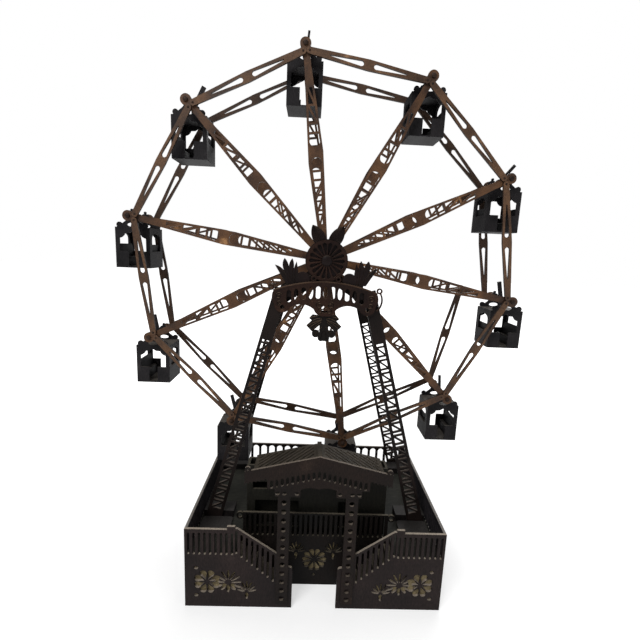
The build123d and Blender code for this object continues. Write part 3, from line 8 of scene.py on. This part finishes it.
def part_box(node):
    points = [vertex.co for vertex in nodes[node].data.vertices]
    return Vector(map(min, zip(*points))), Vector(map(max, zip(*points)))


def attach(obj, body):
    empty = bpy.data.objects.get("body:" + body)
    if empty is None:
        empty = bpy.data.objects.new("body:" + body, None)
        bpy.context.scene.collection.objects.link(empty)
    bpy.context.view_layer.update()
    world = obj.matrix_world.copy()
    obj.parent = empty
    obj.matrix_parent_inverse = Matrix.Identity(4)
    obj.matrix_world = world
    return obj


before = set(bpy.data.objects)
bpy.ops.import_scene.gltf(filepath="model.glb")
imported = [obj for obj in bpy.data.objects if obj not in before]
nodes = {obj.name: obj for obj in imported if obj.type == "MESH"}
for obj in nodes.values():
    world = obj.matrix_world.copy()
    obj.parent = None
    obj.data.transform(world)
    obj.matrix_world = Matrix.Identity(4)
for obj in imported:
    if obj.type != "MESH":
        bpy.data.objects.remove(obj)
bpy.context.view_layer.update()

# ---- places shared with the solids, in metres ------------------------------------
WHEEL_Y = (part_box("hub_barrel")[0][1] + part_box("hub_barrel")[1][1]) / 2
HUB_Z = (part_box("main_axle")[0][2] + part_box("main_axle")[1][2]) / 2
CORNERS = 10
STEP = 360 / CORNERS       # degrees between spokes
FIRST = 25.9               # degrees of the spoke at upper right
AXLE_R = 0.002
PIVOT_OUT = 0.008          # of the cabin axles from the beams' corners
PIVOT_R = (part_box("cabin_axles")[1][2] - AXLE_R - HUB_Z) / math.sin(math.radians(FIRST + 2 * STEP))
RIM_R = PIVOT_R - PIVOT_OUT


# ---- materials ---------------------------------------------------------------------
def stained(
    name,
    base,
    deep,
    rough,
    grain=(1, 1, 1),
    blotch=18.0,
    worn=None,
    bump=0.12,
    fine=900.0,
    cut=None,
    top_highlight=None,
    shine=0.1,
):
    """Stained and lacquered sheet: fine grain, cloudy stain and uneven gloss.

    cut is the colour of the sawn edges of a sheet that faces along Y. Faces that look up are
    blended towards the top colour, a painted highlight that stands in for light from above.
    """
    mat = bpy.data.materials.new(name)
    mat.use_nodes = True
    t = mat.node_tree
    n, l = t.nodes, t.links
    shader = n["Principled BSDF"]
    shader.inputs["Specular IOR Level"].default_value = shine
    coords = n.new("ShaderNodeTexCoord")
    stretch = n.new("ShaderNodeMapping")
    stretch.inputs["Scale"].default_value = grain
    l.new(coords.outputs["Object"], stretch.inputs["Vector"])
    fibre = n.new("ShaderNodeTexNoise")
    fibre.inputs["Scale"].default_value = fine
    fibre.inputs["Detail"].default_value = 6
    fibre.inputs["Roughness"].default_value = 0.65
    l.new(stretch.outputs["Vector"], fibre.inputs["Vector"])
    cloud = n.new("ShaderNodeTexNoise")
    cloud.inputs["Scale"].default_value = blotch
    cloud.inputs["Detail"].default_value = 5
    l.new(coords.outputs["Object"], cloud.inputs["Vector"])
    stain = n.new("ShaderNodeValToRGB")
    stain.color_ramp.elements[0].position = 0.33
    stain.color_ramp.elements[0].color = (*deep, 1)
    stain.color_ramp.elements[1].position = 0.68
    stain.color_ramp.elements[1].color = (*base, 1)
    if worn:
        extra = stain.color_ramp.elements.new(0.77)
        extra.color = (*worn, 1)
    l.new(cloud.outputs["Fac"], stain.inputs["Fac"])
    colour = stain.outputs["Color"]

    parts = n.new("ShaderNodeSeparateXYZ")
    l.new(coords.outputs["Normal"], parts.inputs["Vector"])

    def tint(colour, tone, turned, start, end):
        """Blends towards a tone as the surface turns from start to end."""
        amount = n.new("ShaderNodeMapRange")
        amount.inputs["From Min"].default_value = start
        amount.inputs["From Max"].default_value = end
        l.new(turned, amount.inputs["Value"])
        blend = n.new("ShaderNodeMix")
        blend.data_type = "RGBA"
        l.new(amount.outputs["Result"], blend.inputs["Factor"])
        l.new(colour, blend.inputs["A"])
        blend.inputs["B"].default_value = (*tone, 1)
        return blend.outputs["Result"]

    if cut:
        facing = n.new("ShaderNodeMath")
        facing.operation = "ABSOLUTE"
        l.new(parts.outputs["Y"], facing.inputs[0])
        colour = tint(colour, cut, facing.outputs["Value"], 0.9, 0.6)
    # painted highlight: faces that look up turn towards a lighter colour, as if lit from above
    if top_highlight:
        colour = tint(colour, top_highlight, parts.outputs["Z"], 0.35, 0.85)

    line = n.new("ShaderNodeValToRGB")
    line.color_ramp.elements[0].position = 0.35
    line.color_ramp.elements[0].color = (0.6, 0.6, 0.6, 1)
    line.color_ramp.elements[1].position = 0.65
    line.color_ramp.elements[1].color = (1.3, 1.27, 1.24, 1)
    l.new(fibre.outputs["Fac"], line.inputs["Fac"])
    mix = n.new("ShaderNodeMix")
    mix.data_type = "RGBA"
    mix.blend_type = "MULTIPLY"
    mix.inputs["Factor"].default_value = 1.0
    l.new(colour, mix.inputs["A"])
    l.new(line.outputs["Color"], mix.inputs["B"])
    l.new(mix.outputs["Result"], shader.inputs["Base Color"])
    gloss = n.new("ShaderNodeMapRange")
    gloss.inputs["To Min"].default_value = rough[0]
    gloss.inputs["To Max"].default_value = rough[1]
    l.new(cloud.outputs["Fac"], gloss.inputs["Value"])
    l.new(gloss.outputs["Result"], shader.inputs["Roughness"])
    relief = n.new("ShaderNodeBump")
    relief.inputs["Strength"].default_value = bump
    relief.inputs["Distance"].default_value = 0.0004
    l.new(fibre.outputs["Fac"], relief.inputs["Height"])
    l.new(relief.outputs["Normal"], shader.inputs["Normal"])
    return mat


def srgb(r, g, b):
    """A colour read from the photograph's range, as linear light."""
    out = []
    for v in (r, g, b):
        v /= 255
        out.append(v / 12.92 if v <= 0.04045 else ((v + 0.055) / 1.055) ** 2.4)
    return tuple(out)


# Each stain's colour for the faces that look up is a painted highlight, lighter than the stain as if
# lit from above.
wheel_mat = stained(
    "wheel_stain", srgb(104, 73, 49), srgb(52, 36, 27), (0.4, 0.66), blotch=46,
    worn=srgb(168, 125, 84), cut=srgb(38, 27, 21), shine=0.25,
)
beam_mat = stained(
    "beam_stain", srgb(106, 78, 56), srgb(60, 44, 34), (0.4, 0.66), blotch=40,
    worn=srgb(164, 126, 92), cut=srgb(42, 31, 25), shine=0.25,
)
# painted shade: a darker copy of the beam stain for the rear rim and its loose beam, which stand
# behind the front rim
shaded_rear_beam_mat = stained(
    "rear_beam_painted_shade", srgb(82, 61, 47), srgb(47, 35, 28), (0.42, 0.68), blotch=40,
    worn=srgb(124, 96, 73), cut=srgb(34, 25, 21), shine=0.2,
)
cabin_mat = stained(
    "cabin_stain", srgb(43, 41, 43), srgb(26, 25, 27), (0.45, 0.7), (1, 1, 0.25), 34,
    worn=srgb(60, 58, 58), top_highlight=srgb(78, 74, 70), bump=0.1,
)
bench_mat = stained(
    "bench_stain", srgb(31, 30, 32), srgb(18, 18, 20), (0.5, 0.7), (1, 0.2, 1), 36,
    top_highlight=srgb(66, 63, 60), bump=0.1,
)
frame_mat = stained(
    "frame_stain", srgb(42, 35, 33), srgb(26, 21, 20), (0.42, 0.66), (1, 1, 0.25), 22,
    worn=srgb(54, 46, 43), top_highlight=srgb(96, 88, 80),
)
foot_mat = stained(
    "foot_stain", srgb(34, 31, 31), srgb(22, 20, 20), (0.45, 0.68), (1, 1, 0.25), 26,
    worn=srgb(46, 42, 41), top_highlight=srgb(50, 48, 47),
)
wall_mat = stained(
    "wall_stain", srgb(46, 38, 37), srgb(30, 25, 25), (0.4, 0.64), (1, 1, 0.25), 16,
    worn=srgb(62, 52, 50), top_highlight=srgb(150, 140, 128), bump=0.16,
)
station_mat = stained(
    "station_stain", srgb(36, 28, 25), srgb(21, 17, 15), (0.4, 0.64), (1, 1, 0.25), 22,
    worn=srgb(50, 40, 35), top_highlight=srgb(108, 99, 90),
)
# a very dark stain: on the recess panel and the stairs it is painted shade, standing in for the
# shadow inside the recess and the stairs passage; the pendant uses it as its dark colour
shade_and_dark_mat = stained(
    "dark_and_inner_shade_stain", srgb(25, 20, 18), srgb(13, 11, 10), (0.45, 0.7), (1, 1, 0.25), 24,
    worn=srgb(36, 30, 27), top_highlight=srgb(92, 86, 76),
)
booth_mat = stained(
    "booth_stain", srgb(31, 30, 25), srgb(18, 17, 14), (0.45, 0.7), (1, 1, 0.25), 20,
    worn=srgb(40, 38, 32), top_highlight=srgb(70, 66, 58),
)
side_mat = stained(
    "side_stain", srgb(46, 43, 46), srgb(29, 28, 31), (0.42, 0.66), (1, 1, 0.25), 22,
    top_highlight=srgb(116, 112, 108),
)
leg_mat = stained(
    "leg_stain", srgb(34, 27, 25), srgb(18, 14, 13), (0.42, 0.66), (1, 1, 1), 26,
    worn=srgb(48, 39, 35), cut=srgb(18, 15, 14), top_highlight=srgb(84, 76, 70),
)
sign_mat = stained(
    "sign_stain", srgb(48, 31, 24), srgb(25, 16, 14), (0.38, 0.62), (1, 1, 1), 44,
    worn=srgb(80, 56, 42), cut=srgb(20, 15, 13), top_highlight=srgb(104, 88, 74),
)
# light brown for the painted highlight along the rail over the sign
rail_highlight_mat = stained(
    "rail_highlight_paint", srgb(88, 68, 54), srgb(58, 44, 36), (0.4, 0.62), (1, 1, 1), 60,
    worn=srgb(118, 94, 74),
)
ornament_mat = stained(
    "ornament_stain", srgb(33, 23, 22), srgb(16, 11, 11), (0.38, 0.62), (1, 1, 1), 44,
    worn=srgb(56, 38, 34), cut=srgb(16, 12, 12), top_highlight=srgb(70, 60, 54),
)
deck_mat = stained(
    "deck_stain", srgb(48, 48, 43), srgb(31, 31, 28), (0.5, 0.72), (0.12, 1, 1), 14, bump=0.16,
)
roof_mat = stained(
    "roof_stain", srgb(68, 62, 54), srgb(46, 42, 36), (0.45, 0.68), (0.15, 1, 1), 24,
    worn=srgb(96, 89, 78), bump=0.16,
)
backing_mat = stained(
    "backing_paper", srgb(158, 145, 114), srgb(104, 93, 70), (0.7, 0.85), (1, 1, 1), 60,
    worn=srgb(172, 162, 134), bump=0.05,
)
axle_mat = stained("axle_stain", srgb(62, 48, 40), srgb(36, 28, 25), (0.4, 0.6), (1, 0.1, 1), 60)
knob_mat = stained(
    "knob_stain", srgb(96, 66, 48), srgb(58, 40, 31), (0.3, 0.5), (1, 0.3, 1), 40,
    worn=srgb(120, 84, 58), shine=0.3,
)


def paint(names, mat):
    for name in names:
        mesh = nodes[name].data
        mesh.materials.clear()
        mesh.materials.append(mat)


paint(["front_spokes", "rear_spokes", "hub_barrel", "front_hub_flange", "rear_hub_flange"], wheel_mat)
paint(["front_rim_beams"], beam_mat)
paint(["rear_rim_beams", "loose_rim_beam"], shaded_rear_beam_mat)
paint(["cabin_axles", "cabin_spacers", "axle_spacers", "main_axle", "crank_pin"], axle_mat)
paint(["crank_knob"], knob_mat)
paint(["platform_deck"], deck_mat)
paint(["canopy_roof"], roof_mat)
paint(["flower_backings"], backing_mat)
for number in range(1, CORNERS + 1):
    paint([f"cabin_{number:02d}_box"], cabin_mat)
    paint([f"cabin_{number:02d}_benches"], bench_mat)
paint(["arch_sign", "sign_scrolls", "hub_rosette"], sign_mat)
paint(["hub_leaves", "acanthus_crowns"], ornament_mat)
paint(["leaf_pendant"], shade_and_dark_mat)
paint(["front_walls"], wall_mat)
paint(["sign_columns", "portal_board"], station_mat)
paint(["side_walls"], side_mat)
# painted shade: the recess panel and stairs take the darkest stain for the shade inside them
paint(["recess_panel", "stairs"], shade_and_dark_mat)
paint(["booth_walls"], booth_mat)
paint(["leg_feet"], foot_mat)
paint(["front_left_leg", "front_right_leg", "rear_left_leg", "rear_right_leg"], leg_mat)
paint(["front_head_plate", "rear_head_plate", "rear_wall", "crank_arm"], frame_mat)


# ---- small pieces --------------------------------------------------------------------
def piece(name, bm, mat, body, smooth=True):
    """Makes an object of a finished bmesh and lets it ride on a body."""
    bmesh.ops.recalc_face_normals(bm, faces=bm.faces)
    mesh = bpy.data.meshes.new(name)
    bm.to_mesh(mesh)
    bm.free()
    obj = bpy.data.objects.new(name, mesh)
    bpy.context.collection.objects.link(obj)
    mesh.materials.append(mat)
    if smooth:
        for face in mesh.polygons:
            face.use_smooth = True
    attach(obj, body)
    return obj


def dome(bm, x, y, z, radius, height, towards, segments=20, rings=4):
    """A low round head on a sheet that faces along Y. towards is -1 for the front."""
    loops = []
    for ring in range(rings):
        lift = math.sin(math.pi / 2 * ring / rings)
        r = radius * math.cos(math.pi / 2 * ring / rings)
        loop = []
        for i in range(segments):
            a = 2 * math.pi * i / segments
            place = (x + r * math.cos(a), y + towards * height * lift, z + r * math.sin(a))
            loop.append(bm.verts.new(place))
        loops.append(loop)
    top = bm.verts.new((x, y + towards * height, z))
    for a, b in zip(loops, loops[1:]):
        for i in range(segments):
            j = (i + 1) % segments
            bm.faces.new((a[i], a[j], b[j], b[i]))
    for i in range(segments):
        bm.faces.new((loops[-1][i], loops[-1][(i + 1) % segments], top))
    bm.faces.new(list(reversed(loops[0])))


def corners(radius):
    """Number, angle and place of each corner of a ring round the hub."""
    for i in range(CORNERS):
        a = math.radians(FIRST + STEP * i)
        yield i, a, radius * math.cos(a), HUB_Z + radius * math.sin(a)


BEAM_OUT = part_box("front_rim_beams")[0][1]
BEAM_OUT_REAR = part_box("rear_rim_beams")[1][1]
AXLE_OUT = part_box("cabin_axles")[0][1]
AXLE_OUT_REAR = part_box("cabin_axles")[1][1]

AXLE_HEAD_R, AXLE_HEAD_H = 0.0030, 0.0012
bm = bmesh.new()
for i, a, x, z in corners(PIVOT_R):
    dome(bm, x, AXLE_OUT, z, AXLE_HEAD_R, AXLE_HEAD_H, -1)
    dome(bm, x, AXLE_OUT_REAR, z, AXLE_HEAD_R, AXLE_HEAD_H, 1)
piece("cabin_axle_heads", bm, axle_mat, "wheel")

# two pins hold the ends of each pair of beams on their spoke
PIN_OUT = 0.00394          # of a pin from the corner, along its beam
PIN_R, PIN_H = 0.0014, 0.0006
LOOSE_PIN = (9, -1)        # corner and side where the loose rear beam has come off
bm = bmesh.new()
for i, a, x, z in corners(RIM_R):
    for turn in (1, -1):
        along = a + turn * math.radians(90 + STEP / 2)
        px, pz = x + PIN_OUT * math.cos(along), z + PIN_OUT * math.sin(along)
        dome(bm, px, BEAM_OUT, pz, PIN_R, PIN_H, -1, 12, 3)
        if (i, turn) != LOOSE_PIN:
            dome(bm, px, BEAM_OUT_REAR, pz, PIN_R, PIN_H, 1, 12, 3)
piece("beam_pins", bm, axle_mat, "wheel")

# boss on the rosette
ROSETTE_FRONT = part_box("hub_rosette")[0][1]
BOSS_R, BOSS_H = 0.0064, 0.0022
bm = bmesh.new()
dome(bm, 0, ROSETTE_FRONT, HUB_Z, BOSS_R, BOSS_H, -1, 40, 6)
piece("rosette_boss", bm, ornament_mat, "stand")


# ---- carved lines on the ornaments ---------------------------------------------------------
def raised_line(bm, path, y, width, height):
    """A fine ridge along a path of (x, z) points, standing on a face that looks along -Y."""
    rows = []
    for i, (x, z) in enumerate(path):
        before, after = path[max(i - 1, 0)], path[min(i + 1, len(path) - 1)]
        run = Vector((after[0] - before[0], after[1] - before[1])).normalized()
        sx, sz = -run.y * width / 2, run.x * width / 2
        rows.append([
            bm.verts.new((x + sx, y, z + sz)),
            bm.verts.new((x, y - height, z)),
            bm.verts.new((x - sx, y, z - sz)),
        ])
    for a, b in zip(rows, rows[1:]):
        for i in range(3):
            j = (i + 1) % 3
            bm.faces.new((a[i], a[j], b[j], b[i]))
    bm.faces.new(rows[0])
    bm.faces.new(list(reversed(rows[-1])))


def spiral(x, z, radius, turns, start, hand, steps=40):
    """Points of a volute that winds in towards (x, z)."""
    points = []
    for i in range(steps + 1):
        share = i / steps
        r = radius * (1 - 0.82 * share)
        a = math.radians(start) + hand * share * turns * 2 * math.pi
        points.append((x + r * math.cos(a), z + r * math.sin(a)))
    return points


LEAF_LENGTH, LEAF_WIDTH, LEAF_LEAN = 0.027, 0.015, math.radians(60)
LEAF_ROOT = (0.0046, 0.017)
LEAF_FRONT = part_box("hub_leaves")[0][1]
bm = bmesh.new()
for side in (1, -1):
    for vein in range(-3, 4):
        path = []
        for i in range(15):
            u = LEAF_LENGTH * (0.18 + 0.77 * i / 14)
            half_w = LEAF_WIDTH / 2 * (1 - ((u / LEAF_LENGTH - 0.45) / 0.55) ** 2)
            v = half_w * vein / 3.8
            x = LEAF_ROOT[0] + u * math.cos(LEAF_LEAN) - v * math.sin(LEAF_LEAN)
            z = LEAF_ROOT[1] + u * math.sin(LEAF_LEAN) + v * math.cos(LEAF_LEAN)
            path.append((side * x, HUB_Z + z))
        raised_line(bm, path, LEAF_FRONT, 0.0007, 0.00035)
piece("leaf_veins", bm, sign_mat, "stand", smooth=False)

CROWN_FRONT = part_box("acanthus_crowns")[0][1]
CROWN_Z = HUB_Z - 0.0276
CROWN_TIPS = ((0.056, 0.0195), (0.0485, 0.026), (0.0402, 0.0262), (0.0354, 0.0235))
bm = bmesh.new()
for side in (1, -1):
    for number, (tip_x, tip_z) in enumerate(CROWN_TIPS):
        foot = 0.043 - 0.0022 * number
        path = []
        for i in range(9):
            share = i / 8
            x = foot + (tip_x - foot) * share ** 1.6
            path.append((side * x, CROWN_Z + 0.001 + (tip_z - 0.001) * share))
        raised_line(bm, path, CROWN_FRONT, 0.0009, 0.0004)
piece("crown_veins", bm, sign_mat, "stand", smooth=False)

# carved scrolls on the sign's middle drop and at its ends
SIGN_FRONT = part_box("arch_sign")[0][1]
bm = bmesh.new()
for side in (1, -1):
    for x, z, radius, start, hand in (
        (0.0065, -0.0515, 0.0042, 90, -1),
        (0.0052, -0.0585, 0.0032, 60, -1),
        (0.0545, -0.0425, 0.0040, 150, -1),
        (0.0535, -0.0505, 0.0034, 220, 1),
    ):
        path = spiral(x, z, radius, 1.3, start, hand, 32)
        raised_line(bm, [(side * px, HUB_Z + pz) for px, pz in path], SIGN_FRONT, 0.0011, 0.0007)
piece("sign_volutes", bm, sign_mat, "stand", smooth=False)

# light line along the rail over the sign: a painted highlight, a pale raised strip standing in for
# the light that catches the rail's top edge
SIGN_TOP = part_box("arch_sign")[1][2]
SIGN_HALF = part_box("arch_sign")[1][0] - 0.0014
SIGN_BOW = 0.0115          # drop of the sign's top from its middle to its ends
RAIL_H = 0.002
RAIL_SHARE = 0.99          # of the rail that the line runs along
bm = bmesh.new()
path = []
for i in range(-20, 21):
    share = i / 20 * RAIL_SHARE
    path.append((SIGN_HALF * share, SIGN_TOP + RAIL_H * 0.5 - SIGN_BOW * share ** 2))
raised_line(bm, path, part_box("sign_scrolls")[0][1], 0.0013, 0.0005)
piece("sign_rail_highlight", bm, rail_highlight_mat, "stand", smooth=False)

# folds of the pendant's leaves: each runs from the stem to its leaf's tip
PENDANT_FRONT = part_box("leaf_pendant")[0][1]
PENDANT_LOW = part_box("leaf_pendant")[0][2]
FOLD_LIFT = 0.0008         # bow of a fold over the straight line between its ends
FOLDS = (
    ((0.0025, 0.0265), (0.0195, 0.0190)),
    ((0.0030, 0.0285), (0.0135, 0.0252)),
    ((0.0030, 0.0240), (0.0135, 0.0138)),
    ((0.0035, 0.0255), (0.0170, 0.0165)),
    ((0.0022, 0.0315), (0.0165, 0.0285)),
    ((0.0020, 0.0180), (0.0100, 0.0080)),
    ((0.0012, 0.0140), (0.0035, 0.0020)),
)
bm = bmesh.new()
for side in (1, -1):
    for (x0, z0), (x1, z1) in FOLDS:
        path = []
        for i in range(9):
            share = i / 8
            lift = FOLD_LIFT * math.sin(math.pi * share)
            x, z = x0 + (x1 - x0) * share, z0 + (z1 - z0) * share + lift
            path.append((side * x, PENDANT_LOW + z))
        raised_line(bm, path, PENDANT_FRONT, 0.0010, 0.0006)
piece("pendant_folds", bm, sign_mat, "stand", smooth=False)

# ---- stage, light and camera --------------------------------------------------------------
FLOOR_HALF = 6.0
floor_mesh = bpy.data.meshes.new("floor")
floor_corners = [(x * FLOOR_HALF, y * FLOOR_HALF, 0) for x, y in ((-1, -1), (1, -1), (1, 1), (-1, 1))]
floor_mesh.from_pydata(floor_corners, [], [(0, 1, 2, 3)])
floor = bpy.data.objects.new("floor", floor_mesh)
bpy.context.collection.objects.link(floor)
floor_mat = bpy.data.materials.new("floor_pale")
floor_mat.use_nodes = True
tree = floor_mat.node_tree
shader = tree.nodes["Principled BSDF"]
shader.inputs["Base Color"].default_value = (0.55, 0.55, 0.55, 1)
shader.inputs["Roughness"].default_value = 0.9
path = tree.nodes.new("ShaderNodeLightPath")
seen = tree.nodes.new("ShaderNodeMath")
seen.operation = "MAXIMUM"
tree.links.new(path.outputs["Is Camera Ray"], seen.inputs[0])
tree.links.new(path.outputs["Is Glossy Ray"], seen.inputs[1])
# the floor turns white with distance, so that it meets the background without a line
place = tree.nodes.new("ShaderNodeTexCoord")
away = tree.nodes.new("ShaderNodeVectorMath")
away.operation = "LENGTH"
tree.links.new(place.outputs["Object"], away.inputs[0])
glow = tree.nodes.new("ShaderNodeMapRange")
glow.inputs["From Min"].default_value = 0.3
glow.inputs["From Max"].default_value = 0.9
glow.inputs["To Min"].default_value = 0.56
glow.inputs["To Max"].default_value = 1.1
tree.links.new(away.outputs["Value"], glow.inputs["Value"])
level = tree.nodes.new("ShaderNodeMath")
level.operation = "MULTIPLY"
tree.links.new(glow.outputs["Result"], level.inputs[1])
tree.links.new(seen.outputs["Value"], level.inputs[0])
shader.inputs["Emission Color"].default_value = (1, 1, 1, 1)
tree.links.new(level.outputs["Value"], shader.inputs["Emission Strength"])
floor_mesh.materials.append(floor_mat)

world = bpy.data.worlds.new("world")
bpy.context.scene.world = world
world.use_nodes = True
wt = world.node_tree
back = wt.nodes["Background"]
ray = wt.nodes.new("ShaderNodeLightPath")
shown = wt.nodes.new("ShaderNodeMath")
shown.operation = "MAXIMUM"
wt.links.new(ray.outputs["Is Camera Ray"], shown.inputs[0])
wt.links.new(ray.outputs["Is Transmission Ray"], shown.inputs[1])
strength = wt.nodes.new("ShaderNodeMapRange")
strength.inputs["To Min"].default_value = 0.22
strength.inputs["To Max"].default_value = 1.0
wt.links.new(shown.outputs["Value"], strength.inputs["Value"])
wt.links.new(strength.outputs["Result"], back.inputs["Strength"])
back.inputs["Color"].default_value = (1, 1, 1, 1)

LIT = (0, 0, 0.3)          # point that every lamp looks at


def softbox(name, place, width, height, power):
    """A soft rectangular lamp, in watts."""
    data = bpy.data.lights.new(name, "AREA")
    data.shape = "RECTANGLE"
    data.size = width
    data.size_y = height
    data.energy = power
    lamp = bpy.data.objects.new(name, data)
    bpy.context.collection.objects.link(lamp)
    lamp.location = place
    lamp.rotation_euler = (Vector(LIT) - Vector(place)).to_track_quat("-Z", "Y").to_euler()


softbox("key_light", (-0.9, -1.5, 1.9), 1.0, 1.0, 34)
softbox("fill_light", (1.6, -1.2, 0.9), 1.2, 1.0, 5)
softbox("top_light", (0.2, 0.6, 2.2), 1.2, 1.2, 22)
softbox("rear_light", (1.0, 1.8, 1.3), 1.2, 1.0, 14)

# the camera solved from the two rims of the wheel, with its angles in radians
FOCAL_PX = 401.868
FRAME_PX = 640
SENSOR = 36
CAMERA_X, CAMERA_AHEAD, CAMERA_OVER = -0.0187, 0.5434, 0.0131
PITCH, YAW, ROLL = 0.1743, -0.0292, 0.0438
cy, sy = math.cos(YAW), math.sin(YAW)
cp, sp = math.cos(PITCH), math.sin(PITCH)
cr, sr = math.cos(ROLL), math.sin(ROLL)
tilt = Matrix(((1, 0, 0), (0, cp, -sp), (0, sp, cp)))
swing = Matrix(((cy, sy, 0), (-sy, cy, 0), (0, 0, 1)))
side, ahead, over = tilt @ swing
right = cr * side + sr * over
up = -sr * side + cr * over
camera_data = bpy.data.cameras.new("camera")
camera_data.sensor_width = SENSOR
camera_data.sensor_fit = "HORIZONTAL"
camera_data.lens = SENSOR * FOCAL_PX / FRAME_PX
camera_data.clip_start = 0.01
camera_data.clip_end = 50
camera = bpy.data.objects.new("camera", camera_data)
bpy.context.collection.objects.link(camera)
rotation = Matrix((right, up, -ahead)).transposed().to_4x4()
spot = (CAMERA_X, WHEEL_Y - CAMERA_AHEAD, HUB_Z + CAMERA_OVER)
camera.matrix_world = Matrix.Translation(spot) @ rotation
bpy.context.scene.camera = camera
bpy.context.scene.view_settings.view_transform = "Standard"
